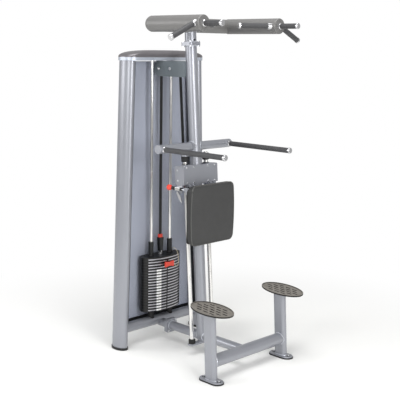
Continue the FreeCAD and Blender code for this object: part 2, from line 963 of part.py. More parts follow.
def make_cushion():
    """Crowned pad: sides drawn in at the back and front, swelling between."""
    back = pad_back - board_thick - clear
    depth = back - pad_front
    inset_shares = ((0.0, 0.16), (0.28, 0.02), (0.52, 0.0), (0.76, 0.10), (0.90, 0.32), (1.0, 0.86))
    wires = [pad_wire(inset_share * depth, back - depth_share * depth, pad_top - inset_share * depth)
             for depth_share, inset_share in inset_shares]
    return Part.makeLoft(wires, True, False)


def make_board():
    wire = pad_wire(board_inset, pad_back, hinge_z + board_rise)
    return Part.Face(wire).extrude(V(0, -board_thick, 0))


def make_pad_bracket():
    """Steel back plate with two hinge barrels and an index disc on its near end."""
    face = pad_back + bracket_plate
    half_height = (bracket_high - bracket_low) / 2
    wire = rounded_wire(bracket_half_width, half_height, bracket_round)
    wire.rotate(ORIGIN, X_AXIS, QUARTER)
    wire.translate(V(0, face, (bracket_high + bracket_low) / 2))
    pieces = [Part.Face(wire).extrude(V(0, -bracket_plate, 0))]
    for side in SIDES:
        ends = (side * (ear_inner + ear_plate + clear), side * (ear_outer - ear_plate - clear))
        low_x = min(ends)
        high_x = max(ends)
        corners = [V(low_x, face, bracket_high - bracket_round), V(low_x, hinge_y, hinge_z + barrel_radius),
                   V(low_x, hinge_y, hinge_z - barrel_radius), V(low_x, face, hinge_z - barrel_radius * 3)]
        pieces.append(Part.Face(Part.makePolygon(corners + corners[:1])).extrude(V(high_x - low_x, 0, 0)))
        pieces.append(cylinder(barrel_radius, V(low_x, hinge_y, hinge_z), V(high_x, hinge_y, hinge_z)))
    low_x = -pin_reach - disc_half_width
    high_x = -pin_reach + disc_half_width
    pieces.append(box(V(low_x, pad_back, bracket_high - strip_height),
                      V(-bracket_half_width + bracket_round * 2, face, bracket_high)))
    pieces.append(box(V(low_x, pad_back, bracket_high - strip_height), V(high_x, hinge_y, hinge_z)))
    pieces.append(cylinder(disc_radius, V(low_x, hinge_y, hinge_z), V(high_x, hinge_y, hinge_z)))
    whole = join(pieces)
    bore = cylinder(hinge_pin_radius + slip, V(-ear_outer, hinge_y, hinge_z), V(ear_outer, hinge_y, hinge_z))
    whole = whole.cut(bore)
    for radial in (Y_AXIS, Z_AXIS):
        centre = V(-pin_reach, hinge_y, hinge_z)
        hole = cylinder(pin_radius + clear, centre + radial * (disc_radius - disc_hole_depth),
                        centre + radial * (disc_radius + overrun))
        whole = whole.cut(hole)
    return whole


def make_hinge_pins():
    pins = []
    for side in SIDES:
        pieces = [cylinder(hinge_pin_radius, V(side * (ear_inner - hinge_head), hinge_y, hinge_z),
                           V(side * (ear_outer + hinge_head), hinge_y, hinge_z))]
        for x in (ear_inner - hinge_head, ear_outer):
            pieces.append(cylinder(hinge_head_radius, V(side * x, hinge_y, hinge_z),
                                   V(side * (x + hinge_head), hinge_y, hinge_z)))
        pins.append(join(pieces))
    return pins


# Pull-pin and lever on the near side plate, in the floor's frame
def pin_line(y):
    return V(-pin_reach, y, hinge_z)


def make_pin_block():
    """Bright block on the side plate's lobe that guides the pull-pin."""
    low = V(-pin_reach - block_pin_half, block_pin_start, hinge_z - block_pin_half)
    high = V(-carriage_half_width, block_pin_end, hinge_z + block_pin_half)
    block = box(low, high)
    edges = [edge for edge in block.Edges
             if abs(edge.tangentAt(edge.FirstParameter).y) > 0.9 and edge.CenterOfMass.x < -pin_reach]
    block = block.makeFillet(block_pin_round, edges)
    bore = cylinder(pin_radius + slip, pin_line(block_pin_start - overrun), pin_line(block_pin_end + overrun))
    return block.cut(bore)


def make_pin_nut():
    """Black locknut on the block's front face."""
    nut = hex_head(nut_radius, nut_length, pin_line(block_pin_start), V(0, -1, 0))
    bore = cylinder(pin_radius + slip, pin_line(0), pin_line(block_pin_end))
    return nut.cut(bore)


def make_pin_sleeve():
    """Black grip sleeve between the block and the knob, which travels with the pin."""
    sleeve = cylinder(pin_sleeve_radius, pin_line(pin_sleeve_end - pin_sleeve_length),
                      pin_line(pin_sleeve_end))
    ends = [edge for edge in sleeve.Edges if edge.Closed]
    sleeve = sleeve.makeFillet(pin_sleeve_radius / 4, ends)
    return sleeve.cut(cylinder(pin_radius, pin_line(0), pin_line(pin_sleeve_end + knob_length)))


def make_pin_rod():
    tip = hinge_y + disc_radius + pin_park
    rod = cylinder(pin_radius, pin_line(tip), pin_line(pin_sleeve_end + knob_length / 2))
    ends = [edge for edge in rod.Edges if edge.Closed and edge.CenterOfMass.y < block_pin_start]
    return rod.makeChamfer(pin_radius / 4, ends)


def make_knob():
    """Red mushroom knob."""
    profile = [(0, knob_length / 2), (pin_radius, knob_length / 2), (pin_radius, 0), (knob_neck_radius, 0),
               (knob_neck_radius, knob_length * 0.2), (knob_radius * 0.9, knob_length * 0.4),
               (knob_radius, knob_length * 0.55), (knob_radius, knob_length * 0.8),
               (knob_radius * 0.72, knob_length), (0, knob_length)]
    return revolved(profile, pin_line(pin_sleeve_end), Y_AXIS)


def make_lever():
    """Spear-shaped lever on a round boss."""
    centre = V(-carriage_half_width - clear, lever_y, lever_z)
    boss = cylinder(lever_boss_radius, centre, centre - V(lever_boss, 0, 0))
    angle = math.radians(lever_angle_deg)
    heading = V(0, math.cos(angle), math.sin(angle))
    across = V(0, -math.sin(angle), math.cos(angle))
    start = centre - V(lever_boss - lever_plate, 0, 0)
    wide = start + heading * (lever_length * 0.55)
    tip = start + heading * lever_length
    left_root = start + across * (lever_boss_radius * 0.6)
    right_root = start - across * (lever_boss_radius * 0.6)
    edges = [Part.Arc(left_root, wide + across * lever_half_width, tip).toShape(),
             Part.Arc(tip, wide - across * lever_half_width, right_root).toShape(),
             Part.makeLine(right_root, left_root)]
    blade = Part.Face(Part.Wire(edges)).extrude(V(-lever_plate, 0, 0))
    return join([boss, blade])


# Pulleys and their box
def make_pulley(y):
    """Flat-belt pulley: hub, holed web and flanged rim."""
    w = pulley_half_width
    f = pulley_flange_thick
    rim = pulley_belt_radius
    inner = rim - f * 2
    profile = [(axle_radius + slip, -w), (pulley_hub_radius, -w), (pulley_hub_radius, -pulley_web_half),
               (inner, -pulley_web_half), (inner, -w), (pulley_flange_radius, -w),
               (pulley_flange_radius, -w + f), (rim, -w + f), (rim, w - f),
               (pulley_flange_radius, w - f), (pulley_flange_radius, w), (inner, w),
               (inner, pulley_web_half), (pulley_hub_radius, pulley_web_half),
               (pulley_hub_radius, w), (axle_radius + slip, w)]
    centre = V(0, y, axle_height)
    wheel = revolved(profile, centre, X_AXIS)
    for step in range(pulley_holes):
        angle = math.radians(step * ROUND / pulley_holes)
        offset = V(0, math.cos(angle), math.sin(angle)) * pulley_hole_pitch_radius
        hole = cylinder(pulley_hole_radius, centre + offset - V(w, 0, 0), centre + offset + V(w, 0, 0))
        wheel = wheel.cut(hole)
    return wheel


def box_outline(x):
    """Side plate outline: round at the rear axle, straight to the post."""
    rear = V(x, rear_axle_back, axle_height)
    top = rear + V(0, 0, box_end_radius)
    bottom = rear - V(0, 0, box_end_radius)
    front = along_post(0, 0, axle_height / math.cos(lean)).y
    arc = Part.Arc(top, rear + V(0, box_end_radius, 0), bottom).toShape()
    lines = [Part.makeLine(bottom, V(x, front, bottom.z)),
             Part.makeLine(V(x, front, bottom.z), V(x, front, top.z)),
             Part.makeLine(V(x, front, top.z), top)]
    return Part.Face(Part.Wire([arc] + lines))


def make_pulley_box():
    plates = []
    for side in SIDES:
        inner = side * (box_half_width - box_plate)
        plates.append(box_outline(inner).extrude(V(side * box_plate, 0, 0)))
    front = along_post(0, 0, axle_height / math.cos(lean)).y
    end = box(V(-box_half_width, front, axle_height - box_end_radius),
              V(box_half_width, front + post_radius + box_front_plate, axle_height + box_end_radius))
    whole = join(plates + [end])
    post = leaned(cylinder(post_radius, V(0, 0, 0), V(0, 0, flange_along)))
    whole = whole.cut(post)
    trim = box(V(-box_half_width * 2, front - box_half_width * 2, 0),
               V(box_half_width * 2, front + post_radius / 2, axle_height * 2))
    whole = whole.cut(trim)
    for y in (rear_axle_back, front_axle_back):
        hole = cylinder(axle_radius, V(-box_half_width * 2, y, axle_height), V(box_half_width * 2, y, axle_height))
        whole = whole.cut(hole)
    return whole


def make_axles():
    axles = []
    for y in (rear_axle_back, front_axle_back):
        left = V(-box_half_width, y, axle_height)
        right = V(box_half_width, y, axle_height)
        pieces = [cylinder(axle_radius, left, right)]
        for side, end in ((-1, left), (1, right)):
            pieces.append(domed_disc(axle_head_radius, axle_head_height, axle_head_height / 2, end,
                                     V(side, 0, 0)))
            inner = side * (pulley_half_width + clear)
            plate_face = side * (box_half_width - box_plate)
            if y == rear_axle_back:
                plate_face = side * (box_half_width - box_plate - hanger_plate)
            pieces.append(cylinder(spacer_radius, V(inner, y, axle_height), V(plate_face, y, axle_height)))
        axles.append(join(pieces))
    return axles


# Belt: over the pulleys, down to the stack and down to the carriage
def belt_points():
    """Tangent points of the belt's middle line in the plane of the pulleys."""
    reach = pulley_belt_radius + belt_thick / 2
    rear = V(0, rear_axle_back, axle_height)
    front = V(0, front_axle_back, axle_height)
    stack_tangent = rear + V(0, reach, 0)
    rear_top = rear + V(0, 0, reach)
    front_top = front + V(0, 0, reach)
    carriage_tangent = front + V(0, -math.cos(lean), math.sin(lean)) * reach
    return stack_tangent, rear, rear_top, front_top, front, carriage_tangent


def ribbon(start, end, normal):
    """Straight stretch of belt between two points."""
    half = belt_thick / 2
    corners = [start + normal * half, end + normal * half, end - normal * half, start - normal * half]
    corners = [corner - V(belt_half_width, 0, 0) for corner in corners]
    return Part.Face(Part.makePolygon(corners + corners[:1])).extrude(V(belt_half_width * 2, 0, 0))


def make_belt_wrap():
    stack_tangent, rear, rear_top, front_top, front, carriage_tangent = belt_points()
    inner = pulley_belt_radius + slip
    outer = pulley_belt_radius + belt_thick
    pieces = [ribbon(rear_top, front_top, Z_AXIS)]
    for centre, sign in ((rear, 1), (front, -1)):
        ring = pipe(outer, outer - inner, centre - V(belt_half_width, 0, 0),
                    centre + V(belt_half_width, 0, 0))
        keep = box(V(-belt_half_width, 0, 0), V(belt_half_width, outer * 2, outer * 2))
        if sign < 0:
            keep = box(V(-belt_half_width, -outer * 2, 0), V(belt_half_width, 0, outer * 2))
            keep = keep.common(keep.rotated(ORIGIN, X_AXIS, -post_lean_deg))
        keep.translate(centre)
        pieces.append(ring.common(keep))
    return join(pieces)


def clevis_top():
    return stack_top() + stem_above + clevis_height


def stack_top():
    count = lower_plate_count + lifted_plate_count
    return stack_bottom + count * (plate_thick + plate_gap) + head_thick


def make_stack_run():
    stack_tangent = belt_points()[0]
    low = V(0, stack_tangent.y, clevis_top() - clevis_height / 3)
    return ribbon(low, stack_tangent, Y_AXIS)


def make_carriage_run():
    carriage_tangent = belt_points()[5]
    low = along_post(0, belt_line(), yoke_low + slip)
    return ribbon(low, carriage_tangent, V(0, math.cos(lean), -math.sin(lean)))


# Weight stack
def plate_face(z, inset=0):
    """Half-ellipse front, round shoulders and a flat back."""
    half = plate_half_width - inset
    shoulder = plate_shoulder_reach - inset
    back_reach = plate_back_reach - inset
    back = plate_back - inset
    ellipse = Part.Ellipse(V(half, guide_y, z), V(0, plate_front + inset, z), V(0, guide_y, z))
    front = Part.ArcOfEllipse(ellipse, 0, math.pi)
    right = Part.Arc(V(half, guide_y, z), V(shoulder, plate_shoulder_y, z), V(back_reach, back, z))
    left = Part.Arc(V(-back_reach, back, z), V(-shoulder, plate_shoulder_y, z), V(-half, guide_y, z))
    back_line = Part.makeLine(V(back_reach, back, z), V(-back_reach, back, z))
    edges = [front.toShape(), right.toShape(), back_line, left.toShape()]
    return Part.Face(Part.Wire(edges))


def weight_plate(low, high):
    """One plate: rim set back at top and bottom, holes for guides, stem and pin."""
    edge = plate_groove
    core = plate_face(low, edge).extrude(V(0, 0, high - low))
    rim = plate_face(low + plate_edge_drop).extrude(V(0, 0, high - low - plate_edge_drop * 2))
    plate = core.fuse(rim)
    for side in SIDES:
        hole = cylinder(guide_hole, V(side * guide_reach, guide_y, low - overrun),
                        V(side * guide_reach, guide_y, high + overrun))
        plate = plate.cut(hole)
    plate = plate.cut(cylinder(stem_hole, V(0, guide_y, low - overrun), V(0, guide_y, high + overrun)))
    middle = (low + high) / 2
    pin_hole = cylinder(selector_radius + clear, V(0, guide_y, middle), V(0, plate_front - overrun, middle))
    return plate.cut(pin_hole)


def plate_low(index):
    return stack_bottom + index * (plate_thick + plate_gap)


def make_plates(first, count):
    return [weight_plate(plate_low(index), plate_low(index) + plate_thick)
            for index in range(first, first + count)]


def make_head():
    low = plate_low(lower_plate_count + lifted_plate_count)
    head = plate_face(low).extrude(V(0, 0, head_thick - plate_edge_drop))
    head = head.fuse(plate_face(low, plate_groove).extrude(V(0, 0, head_thick)))
    for side in SIDES:
        hole = cylinder(guide_hole, V(side * guide_reach, guide_y, low - overrun),
                        V(side * guide_reach, guide_y, low + head_thick + overrun))
        head = head.cut(hole)
        bolt = hex_head(bolt_head_radius, bolt_head_height,
                        V(side * head_bolt_reach, head_bolt_y, low + head_thick), Z_AXIS)
        head = head.fuse(bolt)
    start = tether_route()[0]
    boss = cylinder(tether_boss_radius, V(start.x, start.y, low + head_thick),
                    V(start.x, start.y, low + head_thick + tether_boss))
    head = head.fuse(boss)
    return head.cut(cylinder(stem_radius, V(0, guide_y, low - overrun), V(0, guide_y, low * 2)))


def make_stem():
    """Selector stem: a round bar down through the stack with a pin hole for every plate."""
    low = stack_bottom + plate_thick / 3
    stem = cylinder(stem_radius, V(0, guide_y, low), V(0, guide_y, stack_top() + stem_above))
    tip = [edge for edge in stem.Edges if edge.Closed and edge.CenterOfMass.z < low + slip]
    stem = stem.makeChamfer(stem_radius / 2, tip)
    for index in range(1, lower_plate_count + lifted_plate_count):
        middle = plate_low(index) + plate_thick / 2
        hole = cylinder(stem_pin_radius, V(0, guide_y - stem_radius * 2, middle),
                        V(0, guide_y + stem_radius * 2, middle))
        stem = stem.cut(hole)
    return stem


def make_guide_sleeves():
    sleeves = []
    base = stack_top()
    for side in SIDES:
        profile = [(guide_radius + slip, 0), (guide_sleeve_flange, 0),
                   (guide_sleeve_flange, bushing_lip_thick), (sleeve_out, bushing_lip_thick * 2),
                   (sleeve_out, guide_sleeve_length), (guide_radius + slip, guide_sleeve_length)]
        sleeves.append(revolved(profile, V(side * guide_reach, guide_y, base), Z_AXIS))
    return sleeves


def make_clevis():
    """Black wedge fork on the stem that holds the belt's clamp."""
    low = stack_top() + stem_above - clevis_base
    high = low + clevis_height
    narrow = clevis_half_width * clevis_taper_share
    corners = [V(-narrow, 0, low), V(narrow, 0, low), V(clevis_half_width, 0, high),
               V(-clevis_half_width, 0, high)]
    body = Part.Face(Part.makePolygon(corners + corners[:1])).extrude(V(0, clevis_half_depth * 2, 0))
    body.translate(V(0, guide_y - clevis_half_depth, 0))
    core = cylinder(stem_radius, V(0, guide_y, low - overrun), V(0, guide_y, low + clevis_base))
    slot = box(V(-clevis_half_width - overrun, guide_y - clevis_slot_half, low + clevis_base * 2),
               V(clevis_half_width + overrun, guide_y + clevis_slot_half, high + overrun))
    return body.cut(core).cut(slot)


def make_belt_clamp_red():
    """Red moulded clamp where the belt folds back above the fork."""
    low = clevis_top() - clevis_base + clear
    solid = rounded_plate(clamp_red_half_width, clamp_red_half_depth, clamp_red_half_depth / 3, low,
                          low + clamp_red_height)
    y = belt_points()[0].y
    solid.translate(V(0, y, 0))
    belt = box(V(-belt_half_width - slip, y - belt_thick / 2 - slip, low - overrun),
               V(belt_half_width + slip, y + belt_thick / 2 + slip, low + clamp_red_height + overrun))
    return solid.cut(belt)


def make_stack_rubbers():
    rubbers = []
    low = guide_low
    for side in SIDES:
        x = side * guide_reach
        profile = [(guide_radius + slip, 0), (rubber_foot_radius, 0), (rubber_foot_radius, rubber_foot),
                   (rubber_radius, rubber_foot), (rubber_radius, stack_bottom - clear - low),
                   (guide_radius + slip, stack_bottom - clear - low)]
        solid = revolved(profile, V(x, guide_y, low), Z_AXIS)
        rubbers.append(solid.cut(tower_bar_core()))
    return rubbers


def make_guides():
    rods = []
    for side in SIDES:
        rod = cylinder(guide_radius, V(side * guide_reach, guide_y, guide_low),
                       V(side * guide_reach, guide_y, guide_high))
        rods.append(rod.cut(tower_bar_core()))
    return rods


def make_selector_pin():
    """Steel shank with a ball end in the stem, under the red tag."""
    middle = plate_low(lower_plate_count) + plate_thick / 2
    inner = guide_y - stem_radius / 2
    return cylinder(selector_radius, V(0, inner, middle), V(0, inner - selector_length, middle))


def make_tag():
    """Waisted tag that the fingers pull."""
    middle = plate_low(lower_plate_count) + plate_thick / 2
    y = guide_y - stem_radius / 2 - selector_length
    corners = [V(-tag_half_width, 0, -tag_half_height), V(0, 0, -tag_waist), V(tag_half_width, 0, -tag_half_height),
               V(tag_half_width, 0, tag_half_height), V(0, 0, tag_waist), V(-tag_half_width, 0, tag_half_height)]
    body = Part.Face(Part.makePolygon(corners + corners[:1])).extrude(V(0, -tag_thick, 0))
    edges = [edge for edge in body.Edges if abs(edge.tangentAt(edge.FirstParameter).y) > 0.9]
    body = body.makeFillet(tag_thick / 2, edges)
    boss = cylinder(tag_boss_radius, ORIGIN, V(0, tag_boss, 0))
    whole = join([body, boss])
    whole = whole.cut(cylinder(selector_radius, ORIGIN, V(0, tag_boss + overrun, 0)))
    whole.translate(V(0, y, middle))
    return whole


def tether_route():
    """The tether's corner points, carried with the middle of the head plate's top."""
    return [V(0, guide_y, stack_top()) + offset for offset in tether_offsets]


def route_wire(points):
    """Straight runs joined by tangent arcs, each as large as its two runs allow."""
    edges = []
    here = points[0]
    for index in range(1, len(points) - 1):
        before = points[index - 1]
        corner = points[index]
        after = points[index + 1]
        incoming = (corner - before).normalize()
        outgoing = (after - corner).normalize()
        turn = math.acos(max(-1, min(1, incoming.dot(outgoing))))
        shorter = min((corner - before).Length, (after - corner).Length)
        setback = tether_setback_share * shorter
        radius = setback / math.tan(turn / 2)
        start = corner - incoming * setback
        end = corner + outgoing * setback
        bisector = (outgoing - incoming).normalize()
        centre = corner + bisector * (radius / math.cos(turn / 2))
        middle = centre - bisector * radius
        edges.append(Part.LineSegment(here, start).toShape())
        edges.append(Part.Arc(start, middle, end).toShape())
        here = end
    edges.append(Part.LineSegment(here, points[-1]).toShape())
    return Part.Wire(edges)


def make_tether():
    route = tether_route()
    wire = route_wire(route)
    profile = Part.Wire(Part.Circle(route[0], route[1] - route[0], tether_radius).toShape())
    print("tether length %.1f" % wire.Length)
    return wire.makePipeShell([profile], True, False)


# Tower
def column_shift():
    return V(column_foot_reach - column_top_reach, 0, 0)


def column_solid(grow, low, high):
    """Oval column that leans inward, between two heights."""
    share_low = low / column_top
    share_high = high / column_top
    reach_low = column_foot_reach - column_shift().x * share_low
    reach_high = column_foot_reach - column_shift().x * share_high
    face = oval_face(column_half_width + grow, column_half_depth + grow, V(reach_low, column_y, low))
    return face.extrude(V(reach_high - reach_low, 0, high - low))


def both_sides(solid):
    return [mirrored(solid), solid]


def make_column():
    return column_solid(0, foot_base, column_top).cut(column_solid(-column_wall, 0, column_top + overrun))


def make_column_feet():
    """Black moulded shoe round the foot of a column."""
    outer = oval_face(column_half_width + foot_rim, column_half_depth + foot_rim,
                      V(column_foot_reach, column_y, 0)).extrude(V(0, 0, foot_height))
    shoe = outer.cut(column_solid(slip, foot_base, foot_height * 2))
    return shoe


def make_liner():
    """Black strip on the inner face of a column, in front of the panel."""
    skin = column_solid(liner_thick, liner_low, liner_high).cut(column_solid(slip, 0, column_top))
    front = column_y - liner_half_depth
    corners = [V(0, front, 0), V(column_foot_reach, front, 0), V(column_top_reach, front, column_top),
               V(0, front, column_top)]
    keep = Part.Face(Part.makePolygon(corners + corners[:1])).extrude(V(0, liner_half_depth * 2, 0))
    return skin.common(keep)


def make_panel():
    """Sheet between the columns, with a lip at the top and bottom and ribs on its back."""
    inset = column_half_width * math.sqrt(1 - ((panel_y - column_y) / column_half_depth) ** 2)
    shift = column_shift().x
    low_reach = column_foot_reach - shift * panel_low / column_top - inset - clear
    high_reach = column_foot_reach - shift * panel_high / column_top - inset - clear
    y = panel_y
    corners = [V(-low_reach, y, panel_low), V(low_reach, y, panel_low), V(high_reach, y, panel_high),
               V(-high_reach, y, panel_high)]
    sheet = Part.Face(Part.makePolygon(corners + corners[:1])).extrude(V(0, panel_thick, 0))
    pieces = [sheet]
    for z in (panel_low, panel_high - panel_thick):
        reach = low_reach if z == panel_low else high_reach
        inner = reach - panel_fold
        pieces.append(box(V(-inner, y - panel_fold, z), V(inner, y, z + panel_thick)))
    for index in range(panel_rib_count):
        z = panel_low + (panel_high - panel_low) * (index + 1) / (panel_rib_count + 1)
        reach = high_reach - panel_fold
        pieces.append(box(V(-reach, y + panel_thick, z - panel_thick),
                          V(reach, y + panel_thick + panel_rib_depth, z + panel_thick)))
    return join(pieces)


def arch(half_span, rise, base):
    """Outline of a shallow arch on a straight base, in the XZ plane."""
    low = [V(-half_span, 0, cap_low), V(half_span, 0, cap_low)]
    left = V(-half_span, 0, base)
    right = V(half_span, 0, base)
    edges = [Part.makeLine(low[0], low[1]), Part.makeLine(low[1], right),
             Part.Arc(right, V(0, 0, base + rise), left).toShape(), Part.makeLine(left, low[0])]
    return Part.Face(Part.Wire(edges))


def cap_solid(grow):
    """Domed lid: two arches crossed and trimmed to a rounded plan."""
    base = cap_low + cap_rim + grow
    half_x = cap_half_width + grow
    half_y = cap_half_depth + grow
    along_x = arch(half_x + cap_arch_margin, cap_rise, base).extrude(V(0, half_y * 4, 0))
    along_x.translate(V(0, -half_y * 2, 0))
    across = arch(half_y + cap_arch_margin, cap_rise, base)
    across.rotate(ORIGIN, Z_AXIS, QUARTER)
    across = across.extrude(V(half_x * 4, 0, 0))
    across.translate(V(-half_x * 2, 0, 0))
    plan = rounded_plate(half_x, half_y, cap_corner + grow, cap_low, cap_low + cap_rim + cap_rise * 2)
    return along_x.common(across).common(plan)


def make_cap():
    outer = cap_solid(0)
    inner = cap_solid(-cap_wall)
    lid = outer.cut(inner)
    for side in SIDES:
        boss = cylinder(cap_boss_radius, V(side * cap_boss_reach, 0, top_beam_high),
                        V(side * cap_boss_reach, 0, cap_low + cap_rim + cap_rise * 2))
        lid = lid.fuse(boss.common(outer))
    lid.translate(V(0, column_y, 0))
    return lid


def tower_bar_core():
    inner = column_foot_reach - column_half_width
    return cylinder(tower_bar_radius, V(-inner, guide_y, tower_bar_height), V(inner, guide_y, tower_bar_height))


def make_tower_base():
    """Cross tube between the columns with a stub and flange towards the post."""
    reach = column_foot_reach
    bar = cylinder(tower_bar_radius, V(-reach, guide_y, tower_bar_height), V(reach, guide_y, tower_bar_height))
    bore = cylinder(tower_bar_radius - tube_wall, V(-reach, guide_y, tower_bar_height),
                    V(reach, guide_y, tower_bar_height))
    start = V(0, joint_y + flange_plate, base_height)
    stub = cylinder(base_radius, start, V(0, guide_y, base_height))
    plate = aimed(flange(0, flange_plate), V(0, joint_y, base_height), Y_AXIS)
    stub_bore = cylinder(base_radius - tube_wall, start, V(0, guide_y, base_height))
    whole = join([bar, stub, plate]).cut(bore).cut(stub_bore)
    for column in both_sides(column_solid(0, 0, column_top)):
        whole = whole.cut(column)
    keep = box(V(-reach, 0, 0), V(reach, plate_back * 2, column_top))
    solids = whole.common(keep).Solids
    return max(solids, key=lambda solid: solid.Volume)


def make_top_beam():
    """Beam under the cap that holds the guide rods and hangs the pulley box."""
    reach = column_top_reach - column_half_width
    half = top_beam_half_depth
    beam = box(V(-reach * 2, guide_y - half, top_beam_low), V(reach * 2, guide_y + half, top_beam_high))
    edges = [edge for edge in beam.Edges if abs(edge.tangentAt(edge.FirstParameter).x) > 0.9]
    beam = beam.makeFillet(half / 4, edges)
    pieces = [beam]
    for side in SIDES:
        outer = side * (box_half_width - box_plate - slip)
        inner = side * (box_half_width - box_plate - hanger_plate)
        low = V(min(outer, inner), rear_axle_back - hanger_half_depth, axle_height)
        high = V(max(outer, inner), rear_axle_back + hanger_half_depth, top_beam_low)
        pieces.append(box(low, high))
        pieces.append(cylinder(hanger_half_depth, V(outer, rear_axle_back, axle_height),
                               V(inner, rear_axle_back, axle_height)))
        pieces.append(box(V(min(outer, inner), rear_axle_back - hanger_half_depth, top_beam_low - hanger_plate),
                          V(max(outer, inner), guide_y, top_beam_low + half / 2)))
    whole = join(pieces)
    for column in both_sides(column_solid(0, 0, column_top + top_beam_high)):
        whole = whole.cut(column)
    whole = max(whole.Solids, key=lambda solid: solid.Volume)
    for side in SIDES:
        hole = cylinder(guide_radius + slip, V(side * guide_reach, guide_y, top_beam_low - overrun),
                        V(side * guide_reach, guide_y, guide_high))
        whole = whole.cut(hole)
    hole = cylinder(axle_radius, V(-box_half_width, rear_axle_back, axle_height),
                    V(box_half_width, rear_axle_back, axle_height))
    return whole.cut(hole)


# Base beam and steps
def step_y(z):
    return step_foot_y + (step_top_y - step_foot_y) * z / tread_height


def step_core(side, grow, low, high):
    face = Part.Face(rounded_wire(step_half_width + grow, step_half_depth + grow, step_half_width + grow))
    face.translate(V(side * step_reach, step_y(low), low))
    return face.extrude(V(0, step_y(high) - step_y(low), high - low))


def step_beam_y():
    return step_y(step_beam_height)


def step_beam_core():
    y = step_beam_y()
    return cylinder(step_beam_radius, V(-step_reach, y, step_beam_height), V(step_reach, y, step_beam_height))


def make_base_beam():
    """Tube from the step beam to the tower's flange."""
    start = V(0, joint_y, base_height)
    end = V(0, step_beam_y(), base_height)
    plate = aimed(flange(-flange_plate, 0), start, Y_AXIS)
    tube = join([cylinder(base_radius, start, end), plate])
    bore = cylinder(base_radius - tube_wall, start + V(0, overrun, 0), end)
    return tube.cut(bore).cut(step_beam_core())


def make_step_beam():
    y = step_beam_y()
    tube = pipe(step_beam_radius, tube_wall, V(-step_reach, y, step_beam_height),
                V(step_reach, y, step_beam_height))
    for side in SIDES:
        tube = tube.cut(step_core(side, 0, 0, tread_height))
    return max(tube.Solids, key=lambda solid: solid.Volume)


def tread_frame(solid, side):
    """Carries a level solid to a tread's place, pitched down towards the user."""
    solid = solid.rotated(ORIGIN, X_AXIS, tread_pitch_deg)
    solid.translate(V(side * step_reach, tread_y, tread_height))
    return solid


def make_step_posts():
    posts = []
    for side in SIDES:
        low = rubber_thick + foot_plate_thick
        high = tread_height + tread_thick * 2
        post = step_core(side, 0, low, high).cut(step_core(side, -tube_wall, low - overrun, high + overrun))
        above = box(V(-tread_half_length, -tread_half_length, -tread_thick / 2 - step_plate),
                    V(tread_half_length, tread_half_length, tread_half_length))
        posts.append(join([post.cut(tread_frame(above, side)), foot_plate(side)]))
    return posts


def slot_places():
    """Centres of the tread's slots, in columns that are offset by turns."""
    places = []
    limit_x = tread_half_width - tread_margin
    limit_y = tread_half_length - tread_margin
    columns = int(tread_half_width / slot_pitch_x)
    rows = int(tread_half_length / slot_pitch_y) + 1
    for column in range(-columns, columns + 1):
        shift = slot_pitch_y / 2 if column % 2 else 0
        for row in range(-rows, rows + 1):
            x = column * slot_pitch_x
            y = row * slot_pitch_y + shift
            far = abs(y) + slot_length / 2
            if ((abs(x) + slot_radius) / limit_x) ** 2 + (far / limit_y) ** 2 <= 1:
                places.append((x, y))
    return places


def make_treads():
    """Oval step plates with a raised rim and rows of slots, on a mounting plate."""
    half = tread_thick / 2
    base = oval_face(tread_half_width, tread_half_length, V(0, 0, -half)).extrude(V(0, 0, tread_thick))
    inner = oval_face(tread_half_width - tread_rim_width, tread_half_length - tread_rim_width,
                      V(0, 0, half - tread_rim)).extrude(V(0, 0, tread_thick))
    plate = base.cut(inner)
    under = rounded_plate(step_half_width * 1.4, step_half_depth * 1.2, step_half_width,
                          -half - step_plate, -half)
    plate = plate.fuse(under.translated(V(0, step_top_y - tread_y, 0)))
    for x, y in slot_places():
        slot = rounded_plate(slot_radius, slot_length / 2, slot_radius, -half, tread_thick)
        slot.translate(V(x, y, 0))
        plate = plate.cut(slot)
    return [tread_frame(plate.copy(), side) for side in SIDES]


def foot_outline(grow, low, high, side):
    face = Part.Face(rounded_wire(foot_plate_half_width + grow, foot_plate_half_length + grow,
                                  foot_plate_half_width + grow))
    face.translate(V(side * step_reach, step_foot_y, low))
    return face.extrude(V(0, 0, high - low))


def anchor_holes(side):
    holes = []
    for sign in SIDES:
        centre = V(side * step_reach, step_foot_y + sign * anchor_reach, -overrun)
        holes.append(cylinder(anchor_radius, centre, centre + V(0, 0, rubber_thick * 10)))
    return holes


def foot_plate(side):
    plate = foot_outline(0, rubber_thick, rubber_thick + foot_plate_thick, side)
    top = [edge for edge in plate.Edges
           if edge.CenterOfMass.z > rubber_thick + foot_plate_thick - slip]
    plate = plate.makeChamfer(foot_plate_thick / 4, top)
    for hole in anchor_holes(side):
        plate = plate.cut(hole)
    return plate


def make_foot_rubbers():
    rubbers = []
    for side in SIDES:
        rubber = foot_outline(rubber_rim, 0, rubber_thick, side)
        for hole in anchor_holes(side):
            rubber = rubber.cut(hole)
        rubbers.append(rubber)
    return rubbers


def make_flange_bolts():
    upper = [leaned(bolt) for bolt in flange_bolt_set(flange_along - flange_plate,
                                                      flange_along + flange_plate)]
    lower = [aimed(bolt, V(0, joint_y, base_height), Y_AXIS)
             for bolt in flange_bolt_set(-flange_plate, flange_plate)]
    return upper + lower


